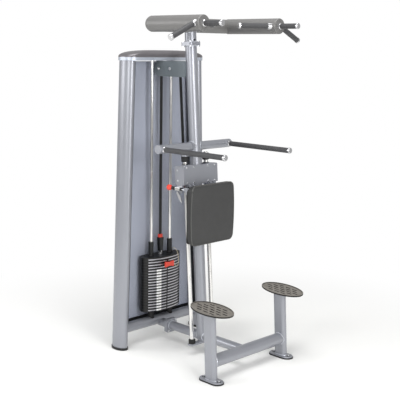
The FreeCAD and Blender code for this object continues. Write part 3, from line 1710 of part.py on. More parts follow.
def save_frame():
    save("main_post", make_post())
    save("chin_stub", make_stub())
    save("flange_bolts", *make_flange_bolts())
    save("chin_cross_tube", make_chin_tube())
    save("chin_arms", *make_arms())
    save("tube_end_caps", *make_tube_caps())
    grips = chin_grips() + dip_handles()
    save("grip_bars", *[pieces[0] for pieces in grips])
    save("grip_sleeves", *[pieces[1] for pieces in grips])
    save("grip_collars", *[pieces[2] for pieces in grips])
    save("grip_end_caps", *[pieces[3] for pieces in grips])
    save("dip_arms", *make_dip_arms())
    save("carriage_rods", *make_rods())
    save("rod_brackets", make_high_bracket(), make_low_bracket())
    save("stop_rubbers", *(make_rod_stops() + make_stack_rubbers()))
    save("base_beam", make_base_beam())
    save("step_beam", make_step_beam())
    save("step_posts", *make_step_posts())
    save("step_treads", *make_treads())
    save("foot_rubbers", *make_foot_rubbers())


def save_tower():
    column = make_column()
    save("tower_column_right", column)
    save("tower_column_left", mirrored(column))
    save("column_trims", *(both_sides(make_column_feet()) + both_sides(make_liner())))
    save("rear_panel", make_panel())
    save("top_cap", make_cap())
    save("tower_base", make_tower_base())
    save("top_beam", make_top_beam())
    save("guide_rods", *make_guides())
    save("lower_weight_plates", *make_plates(0, lower_plate_count))
    save("pulley_box", make_pulley_box())
    save("pulley_axles", *make_axles())
    save("rear_pulley", make_pulley(rear_axle_back))
    save("front_pulley", make_pulley(front_axle_back))
    save("belt_over_pulleys", make_belt_wrap())


def save_lifted():
    save("stack_head_plate", make_head())
    save("lifted_weight_plates", *make_plates(lower_plate_count, lifted_plate_count))
    save("selector_stem", make_stem())
    save("guide_sleeves", *make_guide_sleeves())
    save("belt_clevis", make_clevis())
    save("belt_clamp", make_belt_clamp_red())
    save("belt_stack_run", make_stack_run())
    save("selector_pin", make_selector_pin())
    save("selector_tag", make_tag())
    save("pin_tether", make_tether())


def save_carriage():
    save("carriage_front_plate", make_carriage_plate())
    save("carriage_side_plates", *make_side_plates())
    save("bearing_blocks", *make_blocks())
    save("rod_bushings", *make_bushings())
    save("carriage_bolts", *make_carriage_bolts())
    save("belt_yoke", make_yoke(), make_clamp())
    save("belt_carriage_run", make_carriage_run())
    save("hinge_pins", *make_hinge_pins())
    save("pad_bracket", make_pad_bracket())
    save("pad_board", make_board())
    save("pad_cushion", make_cushion())
    save("pin_block", make_pin_block())
    save("pin_nut", make_pin_nut())
    save("pull_pin", make_pin_rod())
    save("pin_sleeve", make_pin_sleeve())
    save("pin_knob", make_knob())
    save("chrome_lever", make_lever())


os.makedirs("parts", exist_ok=True)
save_frame()
save_tower()
save_lifted()
save_carriage()
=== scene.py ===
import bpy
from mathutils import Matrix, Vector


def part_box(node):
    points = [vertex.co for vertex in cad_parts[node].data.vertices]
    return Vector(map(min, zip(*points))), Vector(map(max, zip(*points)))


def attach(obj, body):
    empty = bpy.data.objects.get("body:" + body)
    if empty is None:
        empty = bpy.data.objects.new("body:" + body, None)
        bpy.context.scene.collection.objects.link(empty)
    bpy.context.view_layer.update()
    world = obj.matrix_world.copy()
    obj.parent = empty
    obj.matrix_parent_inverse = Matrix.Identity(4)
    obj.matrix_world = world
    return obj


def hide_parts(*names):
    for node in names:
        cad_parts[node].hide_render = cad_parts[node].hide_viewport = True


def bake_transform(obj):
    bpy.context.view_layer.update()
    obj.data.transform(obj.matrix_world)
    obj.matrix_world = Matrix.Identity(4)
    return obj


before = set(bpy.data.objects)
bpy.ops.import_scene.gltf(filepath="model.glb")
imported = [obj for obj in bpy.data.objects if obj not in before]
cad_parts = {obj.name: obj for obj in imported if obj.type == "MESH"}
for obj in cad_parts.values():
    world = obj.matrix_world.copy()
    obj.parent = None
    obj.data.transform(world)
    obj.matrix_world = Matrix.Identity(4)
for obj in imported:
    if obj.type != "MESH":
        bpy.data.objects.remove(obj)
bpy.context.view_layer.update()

import math

import bmesh
import bpy
import numpy as np
from mathutils import Matrix, Vector

bl_info = {
    "name": "Assisted Chin-Up Dip Machine",
    "version": (1, 0, 0),
    "blender": (4, 5, 0),
    "location": "3D View > Sidebar > Chin Dip Machine",
    "description": "Cushion, belts, cord, welds and finishes round the machine's fixed frame",
    "category": "Object",
}

FULL_TURN = 2 * math.pi
SIDES = (-1, 1)
X_AXIS, Y_AXIS, Z_AXIS = np.eye(3)
SHARP_EDGE = math.radians(35)

# These places and sizes of the machine's parts are in millimetres about the foot of the leaning post, as
# in the part's source. at() and depth() turn places into metres, and all other lengths are in metres.
FOOT_SHIFT = 20.467
LEAN = math.radians(4.27)
POST_RADIUS = 38
FLANGE = 12
HEAD_JOINT = 2065
CHIN_TUBE_Y, CHIN_TUBE_Z, CHIN_TUBE_RADIUS = 152, 2179, 47
DIP_HEIGHT, DIP_RADIUS = 1391, 34
BEAM_Z, BEAM_RADIUS, BEAM_JOINT = 112, 30, 322
STEP_Y, STEP_Z, STEP_RADIUS = -400.525, 122, 40
STEP_POST_X, STEP_POST_HALF_X, STEP_POST_HALF_Y = 333, 22.5, 45
FOOT_Y, FOOT_TOP, ANCHOR_REACH = -408, 15, 64
FOOT_BEAD_Y, FOOT_BEAD_Z = -407.1, 15.5
TOWER_Y, CAP_LOW = 436, 1947
PANEL_BACK, PANEL_FRONT = 498, 496
BRACKET_BACK, BOARD_FRONT = -13, -30.3
BELT_RADIUS = 39.5
PLATE_HALF_WIDTH, PLATE_HALF_DEPTH = 174, 74
PLATES = 18


def at(x, y, z):
    """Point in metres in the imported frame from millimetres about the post's foot."""
    return np.array([x, y + FOOT_SHIFT, z]) / 1000


def along_post(along):
    """Point on the post's leaning axis, at a distance up from its foot."""
    return at(0, along * math.sin(LEAN), along * math.cos(LEAN))


def depth(y):
    """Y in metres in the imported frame."""
    return (y + FOOT_SHIFT) / 1000


CUSHION_BACK = depth(BOARD_FRONT)


def tint(code):
    """Linear colour from a six-digit sRGB code, by the sRGB curve."""
    level = np.array([int(code[i:i + 2], 16) for i in (0, 2, 4)]) / 255
    return tuple(np.where(level <= 0.04045, level / 12.92, ((level + 0.055) / 1.055) ** 2.4).tolist())


# Settings that a user would change
def length(name, description, default):
    """Length in metres."""
    return bpy.props.FloatProperty(name=name, description=description, default=default, min=0, precision=4,
                                   unit="LENGTH", subtype="DISTANCE")


def colour(name, description, code):
    """Colour from an sRGB code."""
    return bpy.props.FloatVectorProperty(name=name, description=description, default=tint(code), size=3,
                                         min=0, max=1, subtype="COLOR")


def number(name, description, default, low=0.0, high=1000.0):
    """Plain number between two limits."""
    return bpy.props.FloatProperty(name=name, description=description, default=default, min=low, max=high)


def share(name, description, default):
    """Share from 0 to 1."""
    return bpy.props.FloatProperty(name=name, description=description, default=default, min=0, max=1,
                                   subtype="FACTOR")


def count(name, description, default):
    """Whole number from 1 up."""
    return bpy.props.IntProperty(name=name, description=description, default=default, min=1)


def group(kind):
    """One of the groups of settings."""
    return bpy.props.PointerProperty(type=kind)


class CameraSettings(bpy.types.PropertyGroup):
    place: bpy.props.FloatVectorProperty(
        name="Place", description="Where the camera stands", default=(-3.97131, -3.91104, 2.03428), size=3,
        subtype="TRANSLATION", unit="LENGTH")
    heading: bpy.props.FloatVectorProperty(
        name="Heading", description="Direction that the camera looks along", size=3, subtype="DIRECTION",
        default=(0.69846, 0.70054, -0.14631))
    roll: bpy.props.FloatProperty(
        name="Roll", description="Turn about the line of sight", default=0.0144, subtype="ANGLE")
    lens: number("Lens", "Focal length in millimetres on a 36 mm sensor", 77.449, 1)
    shift_up: number("Shift up", "Upward shift of the lens as a share of the picture", -0.06214, -2, 2)


class StageSettings(bpy.types.PropertyGroup):
    floor_radius: length("Floor radius", "How far the floor reaches from the machine", 9.0)
    fade_start: length("Fade start", "Where the floor begins to turn to the background's white", 0.9)
    fade_end: length("Fade end", "Where the floor has turned to the background's white", 2.6)
    floor_tint: colour("Floor", "Colour of the floor", "f6f6f4")
    sky_level: number("Sky level", "Strength of the even light from all round", 0.52)
    key_power: number("Key power", "Watts of the lamp to the left", 75)
    fill_power: number("Fill power", "Watts of the lamp in front", 125)
    top_power: number("Top power", "Watts of the lamp overhead", 130)
    back_power: number("Back power", "Watts of the lamp behind and to the left", 55)


class PaintSettings(bpy.types.PropertyGroup):
    frame_tint: colour("Frame", "Silver coat of the post, steps, columns and plates", "9a9ca3")
    chin_tint: colour("Chin head", "Warmer grey coat of the chin head", "7c7b7a")
    # The beads' lighter tint paints the highlight along the welds.
    weld_highlight_tint: colour("Weld beads", "Coat over the weld beads, where it lies thicker", "c3c6cd")
    chin_low: length("Chin coat's foot", "Height above which tubes' caps have the chin head's coat", 1.8)
    # The crown's darker tint over the rim's lighter one paints a dark reflection on the cap's top.
    cap_crown_reflection_tint: colour("Top cap", "Warm grey crown of the tower's cap", "716e71")
    cap_rim_tint: colour("Cap rim", "Lighter rim of the tower's cap", "b9bfca")
    cap_rim_top: length("Cap rim's top", "Height where the cap's rim turns into its crown", 1.968)
    panel_tint: colour("Rear panel", "Blue-grey coat of the perforated panel", "c4c9d8")
    # The box's darker grey paints the shade that falls on it under the cap.
    box_shaded_tint: colour("Pulley box", "Dark grey coat of the pulley box", "6f777c")
    # The holes' darker tint paints the shade inside them.
    hole_shade_tint: colour("Holes", "Shade of the panel's small holes", "8d92a0")
    hole_pitch: length("Hole pitch", "Distance between the panel's holes", 0.008)
    hole_radius: length("Hole radius", "Radius of one of the panel's holes", 0.0021)


class MetalSettings(bpy.types.PropertyGroup):
    chrome_tint: colour("Chrome", "Carriage rods and guide rods", "e9e8e6")
    polish_tint: colour("Polished alloy", "Collars and end caps of the grips", "d9d9db")
    steel_tint: colour("Plated steel", "Bolts, pins and axles", "d4d5d8")
    alloy_tint: colour("Cast alloy", "Bearing blocks", "b9bbc2")
    tread_tint: colour("Treads", "Dull cast alloy of the step treads", "837e77")
    # The slots' dark tint is painted shade inside the treads' slots and on their edge.
    slot_shade_tint: colour("Tread slots", "Dark walls of the treads' slots and edge", "1c1a18")
    iron_tint: colour("Stack paint", "Black paint of the weight plates", "0b0b0c")
    rim_tint: colour("Plate rims", "Bare rims of the weight plates", "c6c5ca")
    rim_low: share("Rim low", "Where the bare rim starts in a plate's height", 0.34)
    rim_high: share("Rim high", "Where the bare rim ends in a plate's height", 0.66)
    rim_facing: number("Rim facing", "Highest Y of the normal where a rim is bare, -1 at its very front",
                       -0.84, -1, 1)


class SoftSettings(bpy.types.PropertyGroup):
    cover_tint: colour("Pad cover", "Charcoal upholstery of the knee pad", "363636")
    # The boxing's darker tint paints the shade on the pad's sides and top.
    boxing_shade_tint: colour("Pad boxing", "Darker cover round the pad's sides", "272727")
    # The welt's tint, lighter than the cover, paints a highlight line along the seam.
    welt_highlight_tint: colour("Pad welt", "Slightly shiny welt in the pad's seam", "4a4a48")
    board_tint: colour("Pad board", "Black painted board behind the pad", "1c1b1a")
    grip_tint: colour("Grip rubber", "Sleeves of the handles", "404042")
    rubber_tint: colour("Black rubber", "Stops and feet", "101011")
    plastic_tint: colour("Black plastic", "Shoes, sleeves, nuts and pulleys", "121315")
    red_tint: colour("Red plastic", "Knob, tag and belt clamp", "ea4a38")
    belt_tint: colour("Belt", "Flat drive belt", "0e0e0f")
    tether_tint: colour("Tether", "Thin cord of the selector pin", "ded2b6")
    label_tint: colour("Plate labels", "Blank pale plaques on the weight plates", "f4f4f2")


class CushionSettings(bpy.types.PropertyGroup):
    half_width: length("Half width", "Half of the cushion's width before it swells", 0.2)
    corner: length("Corner radius", "Radius of the cushion's corners", 0.034)
    bulge: share("Bulge", "How much narrower the top and bottom are than the middle", 0.055)
    top: length("Top", "Height of the cushion's top before it swells", 1.159)
    bottom: length("Bottom", "Height of the cushion's bottom before it swells", 0.768)
    seam_depth: length("Seam depth", "From the board to the seam round the front", 0.0425)
    crown: length("Crown", "How far the front stands out from the seam before it swells", 0.0035)
    voxel: length("Cloth cell", "Size of the cloth's cells", 0.0052)
    swell_limit: length("Swell limit", "Furthest that the cloth may move", 0.0055)
    pressure: number("Pressure", "Pressure that fills the cover", 4.0)
    piping: length("Piping radius", "Radius of the welt in the seam", 0.0036)
    frames: count("Frames", "Steps of the cloth's settling", 20)


class CapSettings(bpy.types.PropertyGroup):
    half_width: length("Half width", "Half of the cap's width", 0.348)
    half_depth: length("Half depth", "Half of the cap's depth", 0.0815)
    corner: length("Corner radius", "Radius of the cap's corners seen from above", 0.066)
    rim: length("Rim", "Height of the upright rim", 0.026)
    crown: length("Crown", "Height of the crown above the rim", 0.042)
    fullness: number("Fullness", "How square the crown's shoulders are", 3.4, 1, 20)
    wall: length("Wall", "Thickness of the cap's wall", 0.003)
    # The skirt's black stands for the shade in the gap under the rear panel.
    skirt: length("Skirt", "How far the trim under the rear panel hangs down", 0.036)


class BeltSettings(bpy.types.PropertyGroup):
    half_width: length("Half width", "Half of the belt's width", 0.0125)
    thickness: length("Thickness", "Belt thickness", 0.003)
    groove: length("Groove depth", "Depth of the belt's long grooves", 0.0004)
    grooves: count("Grooves", "Number of long grooves in each face", 4)


class TetherSettings(bpy.types.PropertyGroup):
    diameter: length("Diameter", "Thickness of the tether", 0.0032)
    length: length("Length", "Real length of the tether", 0.28)


class WeldSettings(bpy.types.PropertyGroup):
    bead: length("Bead radius", "Half of a weld bead's thickness", 0.0032)
    ripple: share("Ripple", "Depth of the bead's ripples as a share of its radius", 0.16)
    ripple_pitch: length("Ripple pitch", "Distance between a bead's ripples", 0.0042)


class MarkSettings(bpy.types.PropertyGroup):
    half_width: length("Half width", "Half of a plate label's width along the rim", 0.019)
    half_height: length("Half height", "Half of a plate label's height", 0.0058)
    lift: length("Thickness", "How far a label stands off the rim", 0.0005)
    middle: bpy.props.FloatProperty(
        name="Middle", description="Sideways place of the labels' middle", default=-0.07, unit="LENGTH",
        subtype="DISTANCE", precision=4)


class ScrewSettings(bpy.types.PropertyGroup):
    head_radius: length("Head radius", "Radius of a screw head", 0.0055)
    head_height: length("Head height", "Height of a screw head", 0.0028)
    edge_gap: length("Edge gap", "From the panel's edge to its screws", 0.012)
    anchor_radius: length("Anchor radius", "Half of an anchor bolt's head from corner to corner", 0.0085)
    anchor_height: length("Anchor height", "Height of an anchor bolt's head", 0.0062)
    washer_radius: length("Washer radius", "Radius of an anchor bolt's washer", 0.0125)
    washer_height: length("Washer height", "Thickness of an anchor bolt's washer", 0.0018)
    panel_rows: count("Panel rows", "Screws up each edge of the rear panel", 12)


class MachineSettings(bpy.types.PropertyGroup):
    camera: group(CameraSettings)
    stage: group(StageSettings)
    paint: group(PaintSettings)
    metal: group(MetalSettings)
    soft: group(SoftSettings)
    cushion: group(CushionSettings)
    cap: group(CapSettings)
    belt: group(BeltSettings)
    tether: group(TetherSettings)
    weld: group(WeldSettings)
    mark: group(MarkSettings)
    screw: group(ScrewSettings)


def settings():
    """The scene's settings of the machine."""
    return bpy.context.scene.chin_dip_machine


# Surfaces
def patch(points, loop_rows=False, loop_columns=False, caps=False):
    """Points and faces of a grid: cell (i, j) is the face between rows i, i+1 and columns j, j+1.

    A looped direction joins its last line to its first, and caps close the first and last rows."""
    rows, columns = points.shape[:2]
    index = np.arange(rows * columns).reshape(rows, columns)
    ring = index
    if loop_rows:
        ring = np.vstack([ring, ring[:1]])
    if loop_columns:
        ring = np.hstack([ring, ring[:, :1]])
    faces = np.stack([ring[:-1, :-1], ring[:-1, 1:], ring[1:, 1:], ring[1:, :-1]], axis=-1)
    faces = faces.reshape(-1, 4).tolist()
    if caps:
        faces += [index[0, ::-1].tolist(), index[-1].tolist()]
    return points.reshape(-1, 3), faces


def tidy_mesh(mesh):
    """Merges doubles and points every face outwards."""
    work = bmesh.new()
    work.from_mesh(mesh)
    bmesh.ops.remove_doubles(work, verts=work.verts, dist=1e-7)
    bmesh.ops.recalc_face_normals(work, faces=work.faces)
    work.to_mesh(mesh)
    work.free()


def dress(mesh, finish):
    """Makes every face smooth and gives the mesh one finish."""
    mesh.polygons.foreach_set("use_smooth", np.ones(len(mesh.polygons), bool))
    mesh.materials.clear()
    mesh.materials.append(FINISHES[finish])


def make_piece(name, patches, finish):
    """One object from several patches, smooth but for its sharp edges."""
    points = []
    faces = []
    start = 0
    for corners, cells in patches:
        points.append(corners)
        faces += [[start + corner for corner in cell] for cell in cells]
        start += len(corners)
    mesh = bpy.data.meshes.new(name)
    mesh.from_pydata(np.concatenate(points).tolist(), [], faces)
    tidy_mesh(mesh)
    dress(mesh, finish)
    mesh.set_sharp_from_angle(angle=SHARP_EDGE)
    piece = bpy.data.objects.new(name, mesh)
    bpy.context.scene.collection.objects.link(piece)
    return piece


def read_vertices(mesh, what="co"):
    """Places or normals of a mesh's corners."""
    values = np.zeros(len(mesh.vertices) * 3)
    mesh.vertices.foreach_get(what, values)
    return values.reshape(-1, 3)


def unit(vectors):
    """The same directions with length 1."""
    return vectors / np.linalg.norm(vectors, axis=-1, keepdims=True)


def square_to(axis, helper):
    """Two directions square to an axis and to each other, the first also square to the helper."""
    first = unit(np.cross(axis, helper))
    return first, np.cross(axis, first)


def circle(first, second, sides):
    """Directions cos t*first + sin t*second, evenly spaced round one turn."""
    turn = np.linspace(0, FULL_TURN, sides, endpoint=False)[:, None]
    return np.cos(turn) * first[..., None, :] + np.sin(turn) * second[..., None, :]


def loop_tangent(path):
    """Direction of a closed line at each point, from the points on either side of it."""
    return unit(np.roll(path, -1, axis=0) - np.roll(path, 1, axis=0))


def lathe(profile, centre, axis, sides):
    """Turns (radius, height) pairs about an axis: centre + h*axis + r*(cos t*e1 + sin t*e2)."""
    radius, height = np.array(profile, float).T[:, :, None, None]
    return patch(centre + height * axis + radius * circle(*square_to(axis, X_AXIS), sides),
                 loop_columns=True, caps=True)


def swept(path, across, outward, outline):
    """Carries a flat outline along a path: p(s) + u*across(s) + v*outward(s) for each (u, v)."""
    u, v = outline.T[:, None, :, None]
    return patch(path[:, None] + u * across[:, None] + v * outward[:, None], loop_columns=True, caps=True)


def rounded_outline(half_x, half_z, radius, arc_steps=10, side_steps=24):
    """Rectangle with rounded corners: quarter circles about four centres, joined by even straight runs."""
    arcs = []
    for quarter, (sign_x, sign_z) in enumerate(((1, 1), (-1, 1), (-1, -1), (1, -1))):
        turn = (quarter + np.linspace(0, 1, arc_steps)) * math.pi / 2
        centre = np.array([sign_x * (half_x - radius), sign_z * (half_z - radius)])
        arcs.append(centre + radius * np.stack([np.cos(turn), np.sin(turn)], axis=1))
    lines = []
    for arc, following in zip(arcs, arcs[1:] + arcs[:1]):
        steps = np.linspace(0, 1, side_steps)[1:-1, None]
        lines += [arc, arc[-1] + steps * (following[0] - arc[-1])]
    return np.concatenate(lines)


# Nodes
class Nodes:
    """A node tree with short ways to add nodes, to join them and to work out values."""

    def __init__(self, tree):
        self.tree = tree

    def join(self, source, socket):
        """Wires a socket to another, or types a constant into it."""
        if isinstance(source, bpy.types.NodeSocket):
            self.tree.links.new(source, socket)
        elif socket.type == "RGBA" and len(source) == 3:
            socket.default_value = (*source, 1.0)
        else:
            socket.default_value = source

    def add(self, kind, inputs=None, **options):
        """New node with its options set and its inputs joined."""
        node = self.tree.nodes.new("ShaderNode" + kind)
        for key, value in options.items():
            setattr(node, key, value)
        for key, source in (inputs or {}).items():
            self.join(source, node.inputs[key])
        return node

    def value(self, kind, inputs=None, **options):
        """First output of a new node."""
        return self.add(kind, inputs, **options).outputs[0]

    def sum(self, operation, *values):
        """Arithmetic on sockets and numbers."""
        return self.value("Math", dict(enumerate(values)), operation=operation)

    def spread(self, source, *ends, **options):
        """Maps a value from the first two ends onto the last two."""
        return self.value("MapRange", dict(enumerate((source, *ends))), **options)

    def bump(self, height, strength, distance):
        """Normal that follows a height."""
        return self.value("Bump", {"Strength": strength, "Distance": distance, "Height": height})


class Effect(Nodes):
    """A shared effect: a node group from coordinates and numbers to tones, masks or normals."""

    def __init__(self, name, outputs, **inputs):
        super().__init__(bpy.data.node_groups.new(name, "ShaderNodeTree"))
        sockets = self.tree.interface
        sockets.new_socket("Coordinates", in_out="INPUT", socket_type="NodeSocketVector")
        for key, default in inputs.items():
            sockets.new_socket(key, in_out="INPUT", socket_type="NodeSocketFloat").default_value = default
        for key in outputs:
            kind = "NodeSocketVector" if key == "Normal" else "NodeSocketFloat"
            sockets.new_socket(key, in_out="OUTPUT", socket_type=kind)
        self.given = self.tree.nodes.new("NodeGroupInput").outputs
        self.result = self.tree.nodes.new("NodeGroupOutput").inputs

    def pattern(self, kind, inputs=None, **options):
        """Outputs of a texture over the given coordinates at the given scale."""
        place = {"Vector": self.given["Coordinates"], "Scale": self.given["Scale"]}
        return self.add(kind, {**place, **(inputs or {})}, **options).outputs

    def give(self, **results):
        """Joins the effect's outputs."""
        for key, source in results.items():
            self.join(source, self.result[key])


def make_cloudy_tone():
    """Slow cloudy change: noise spread between a low and a high value."""
    effect = Effect("cloudy tone", ["Tone"], Scale=4.0, Low=0.9, High=1.1)
    noise = effect.pattern("TexNoise", {"Detail": 3.0, "Roughness": 0.55})
    effect.give(Tone=effect.spread(noise[0], 0.3, 0.7, effect.given["Low"], effect.given["High"]))


def make_metal_flake():
    """Flakes in a metallic coat: each cell of a fine cell pattern has its own lightness and tilt."""
    effect = Effect("metal flake", ["Tone", "Normal"], Scale=900.0, Contrast=0.1, Tilt=0.06)
    cells = effect.pattern("TexVoronoi")["Color"]
    tone = effect.sum("MULTIPLY_ADD", effect.sum("SUBTRACT", cells, 0.5), effect.given["Contrast"], 1.0)
    effect.give(Tone=tone, Normal=effect.bump(cells, effect.given["Tilt"], 0.0004))


def make_fine_grain():
    """Moulded or leather grain: rounded cells with softer noise between them, as a bump."""
    effect = Effect("fine grain", ["Tone", "Normal"], Scale=600.0, Strength=0.3, Depth=0.0005)
    cells = effect.pattern("TexVoronoi", feature="SMOOTH_F1")["Distance"]
    height = effect.sum("ADD", cells, effect.pattern("TexNoise", {"Detail": 2.0})[0])
    effect.give(Tone=effect.spread(height, 0.3, 1.3, 0.92, 1.08),
                Normal=effect.bump(height, effect.given["Strength"], effect.given["Depth"]))


def make_brushed_lines():
    """Drawn or turned metal: noise that the coordinates' scale makes fine across and long along."""
    effect = Effect("brushed lines", ["Tone", "Normal"], Scale=60.0, Strength=0.1)
    noise = effect.pattern("TexNoise", {"Detail": 3.0})[0]
    effect.give(Tone=effect.spread(noise, 0.25, 0.75, 0.86, 1.14),
                Normal=effect.bump(noise, effect.given["Strength"], 0.0003))


def make_hole_pattern():
    """Staggered round holes in a plane: 1 within a radius of either of two square lattices' points."""
    effect = Effect("hole pattern", ["Hole"], Pitch=0.01, Radius=0.002)
    parts = effect.add("SeparateXYZ", {0: effect.given["Coordinates"]}).outputs
    masks = []
    for offset in (100.0, 100.5):
        within = {}
        for index, key in enumerate("XZ"):
            cell = effect.sum("ADD", effect.sum("DIVIDE", parts[key], effect.given["Pitch"]), offset)
            within[index] = effect.sum("SUBTRACT", effect.sum("FRACT", cell), 0.5)
        flat = effect.value("CombineXYZ", within)
        far = effect.add("VectorMath", {0: flat}, operation="LENGTH").outputs["Value"]
        real = effect.sum("MULTIPLY", far, effect.given["Pitch"])
        masks.append(effect.sum("LESS_THAN", real, effect.given["Radius"]))
    effect.give(Hole=effect.sum("MAXIMUM", *masks))


# Finishes
FINISHES = {}


class Finish(Nodes):
    """A material with its shader, and with short ways to tint it and to feed the shader."""

    def __init__(self, name, **constants):
        material = bpy.data.materials.new(name)
        material.use_nodes = True
        FINISHES[name] = material
        super().__init__(material.node_tree)
        self.tree.nodes.clear()
        self.output = self.add("OutputMaterial").inputs[0]
        self.shader = self.add("BsdfPrincipled")
        self.join(self.shader.outputs[0], self.output)
        self.place = self.add("TexCoord").outputs["Object"]
        self.feed(**constants)

    def feed(self, **sources):
        """Joins the shader's inputs, each named in small letters."""
        for key, source in sources.items():
            self.join(source, self.shader.inputs[key.replace("_", " ").title()])

    def effect(self, name, **inputs):
        """Outputs of a shared effect, over the object's own coordinates unless others are given."""
        inputs.setdefault("Coordinates", self.place)
        return self.add("Group", inputs, node_tree=bpy.data.node_groups[name]).outputs

    def cloud(self, scale, low, high):
        """Tone that drifts slowly between two values."""
        return self.effect("cloudy tone", Scale=scale, Low=low, High=high)["Tone"]

    def part(self, key, vector=None):
        """One part of the place, or of another vector."""
        return self.add("SeparateXYZ", {0: self.place if vector is None else vector}).outputs[key]

    def facing(self, key):
        """One part of the surface's normal."""
        return self.part(key, self.add("NewGeometry").outputs["Normal"])

    def product(self, first, *others):
        """Product of two or more values."""
        for other in others:
            first = self.sum("MULTIPLY", first, other)
        return first

    def scaled(self, tone, value):
        """Colour of the same hue, lighter or darker by a tone that changes over the surface."""
        return self.value("VectorMath", {0: value, "Scale": tone}, operation="SCALE")

    def mixed(self, mask, first, second):
        """First colour where the mask is 0 and second where it is 1."""
        node = self.add("Mix", {0: mask}, data_type="RGBA")
        sides = [socket for socket in node.inputs if socket.type == "RGBA"]
        self.join(first, sides[0])
        self.join(second, sides[1])
        return [socket for socket in node.outputs if socket.type == "RGBA"][0]

    def brushed(self, scale, strength):
        """Fine lines, whose coordinates are scaled by axis so that they run long one way."""
        along = self.value("Mapping", {"Vector": self.place, "Scale": scale})
        return self.effect("brushed lines", Coordinates=along, Scale=1.0, Strength=strength)


def painted(name, value, metallic=0.55, roughness=0.36, coat=0.25, below=None, height=0.0):
    """Metallic coat with flakes, a cloudy tone and slightly uneven gloss. It can have another tint below a
    height."""
    finish = Finish(name, metallic=metallic, coat_weight=coat, coat_roughness=0.12)
    flake = finish.effect("metal flake", Scale=1100.0, Contrast=0.12, Tilt=0.05)
    tone = finish.product(flake["Tone"], finish.cloud(3.0, 0.97, 1.03))
    if below is not None:
        value = finish.mixed(finish.sum("GREATER_THAN", finish.part("Z"), height), below, value)
    finish.feed(base_color=finish.scaled(tone, value), normal=flake["Normal"],
                roughness=finish.cloud(14.0, roughness - 0.03, roughness + 0.04))


def perforated(name, paint):
    """Painted sheet whose small holes are set in, with a darker tint that paints the shade inside them."""
    finish = Finish(name, metallic=0.02)
    flake = finish.effect("metal flake", Scale=1100.0, Contrast=0.08, Tilt=0.03)["Tone"]
    hole = finish.effect("hole pattern", Pitch=paint.hole_pitch, Radius=paint.hole_radius)["Hole"]
    finish.feed(base_color=finish.mixed(hole, finish.scaled(flake, paint.panel_tint), paint.hole_shade_tint),
                roughness=finish.cloud(9.0, 0.42, 0.5),
                normal=finish.bump(finish.sum("SUBTRACT", 1.0, hole), 0.5, 0.0008))


def bare_metal(name, value, roughness, scale, strength, metallic=1.0):
    """Bare metal with fine lines."""
    finish = Finish(name, metallic=metallic)
    lines = finish.brushed(scale, strength)
    finish.feed(base_color=finish.scaled(finish.cloud(20.0, 0.96, 1.0), value),
                roughness=finish.product(lines["Tone"], roughness), normal=lines["Normal"])


def moulded(name, value, roughness, grain=900.0, strength=0.25, depth=0.0003):
    """Moulded rubber or plastic with a fine grain and slow change of shade."""
    finish = Finish(name)
    skin = finish.effect("fine grain", Scale=grain, Strength=strength, Depth=depth)
    tone = finish.product(finish.cloud(12.0, 0.94, 1.04), skin["Tone"])
    finish.feed(base_color=finish.scaled(tone, value), normal=skin["Normal"],
                roughness=finish.cloud(30.0, roughness - 0.05, roughness + 0.05))


def tread_alloy(name, top, wall):
    """Dull cast top whose slot walls and edge take a dark tint that paints the shade in the slots: the
    wall's tint shows where a face doesn't look up.
    """
    finish = Finish(name, metallic=0.35, roughness=0.5)
    grain = finish.effect("fine grain", Scale=300.0, Strength=0.4, Depth=0.0006)
    tone = finish.product(finish.cloud(25.0, 0.85, 1.15), grain["Tone"])
    # Painted shade: every face that doesn't look up, the slots' walls and the edge, gets the dark tint.
    shaded_walls = finish.sum("LESS_THAN", finish.facing("Z"), 0.9)
    finish.feed(base_color=finish.scaled(tone, finish.mixed(shaded_walls, top, wall)), normal=grain["Normal"])


def plate_steps():
    """Height of the lowest weight plate's underside, and from one plate to the next."""
    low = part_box("lower_weight_plates")[0].z
    return low, (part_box("stack_head_plate")[0].z - low) / PLATES


def stack_paint(name, metal):
    """Black plates with a bare upright rim band round each plate's height: the band shows only where the
    face turns towards the front, and towards the sides the plates stay black.
    """
    low, pitch = plate_steps()
    finish = Finish(name)
    phase = finish.sum("FRACT", finish.sum("DIVIDE", finish.sum("SUBTRACT", finish.part("Z"), low), pitch))
    band = finish.product(
        finish.sum("GREATER_THAN", phase, metal.rim_low), finish.sum("LESS_THAN", phase, metal.rim_high),
        finish.sum("LESS_THAN", finish.sum("ABSOLUTE", finish.facing("Z")), 0.4),
        finish.sum("LESS_THAN", finish.facing("Y"), metal.rim_facing))
    lines = finish.brushed((25.0, 25.0, 900.0), 0.12)
    grain = finish.effect("fine grain", Scale=350.0, Strength=0.25, Depth=0.0005)
    paint = finish.scaled(grain["Tone"], metal.iron_tint)
    finish.feed(base_color=finish.mixed(band, paint, finish.scaled(lines["Tone"], metal.rim_tint)),
                metallic=finish.product(band, 0.85), roughness=finish.spread(band, 0.0, 1.0, 0.42, 0.34),
                normal=grain["Normal"])


def upholstery(name, value, roughness=0.5, boxing=None, seam=0.0):
    """Vinyl with leather grain. It can have a darker tint for the boxing behind the seam, which paints the
    shade on the pad's sides and top.
    """
    finish = Finish(name, sheen_weight=0.06)
    grain = finish.effect("fine grain", Scale=420.0, Strength=0.32, Depth=0.0006)
    tone = finish.product(finish.cloud(7.0, 0.95, 1.05), grain["Tone"])
    if boxing is not None:
        value = finish.mixed(finish.sum("GREATER_THAN", finish.part("Y"), seam), value, boxing)
    finish.feed(base_color=finish.scaled(tone, value), normal=grain["Normal"],
                roughness=finish.cloud(18.0, roughness, roughness + 0.1))


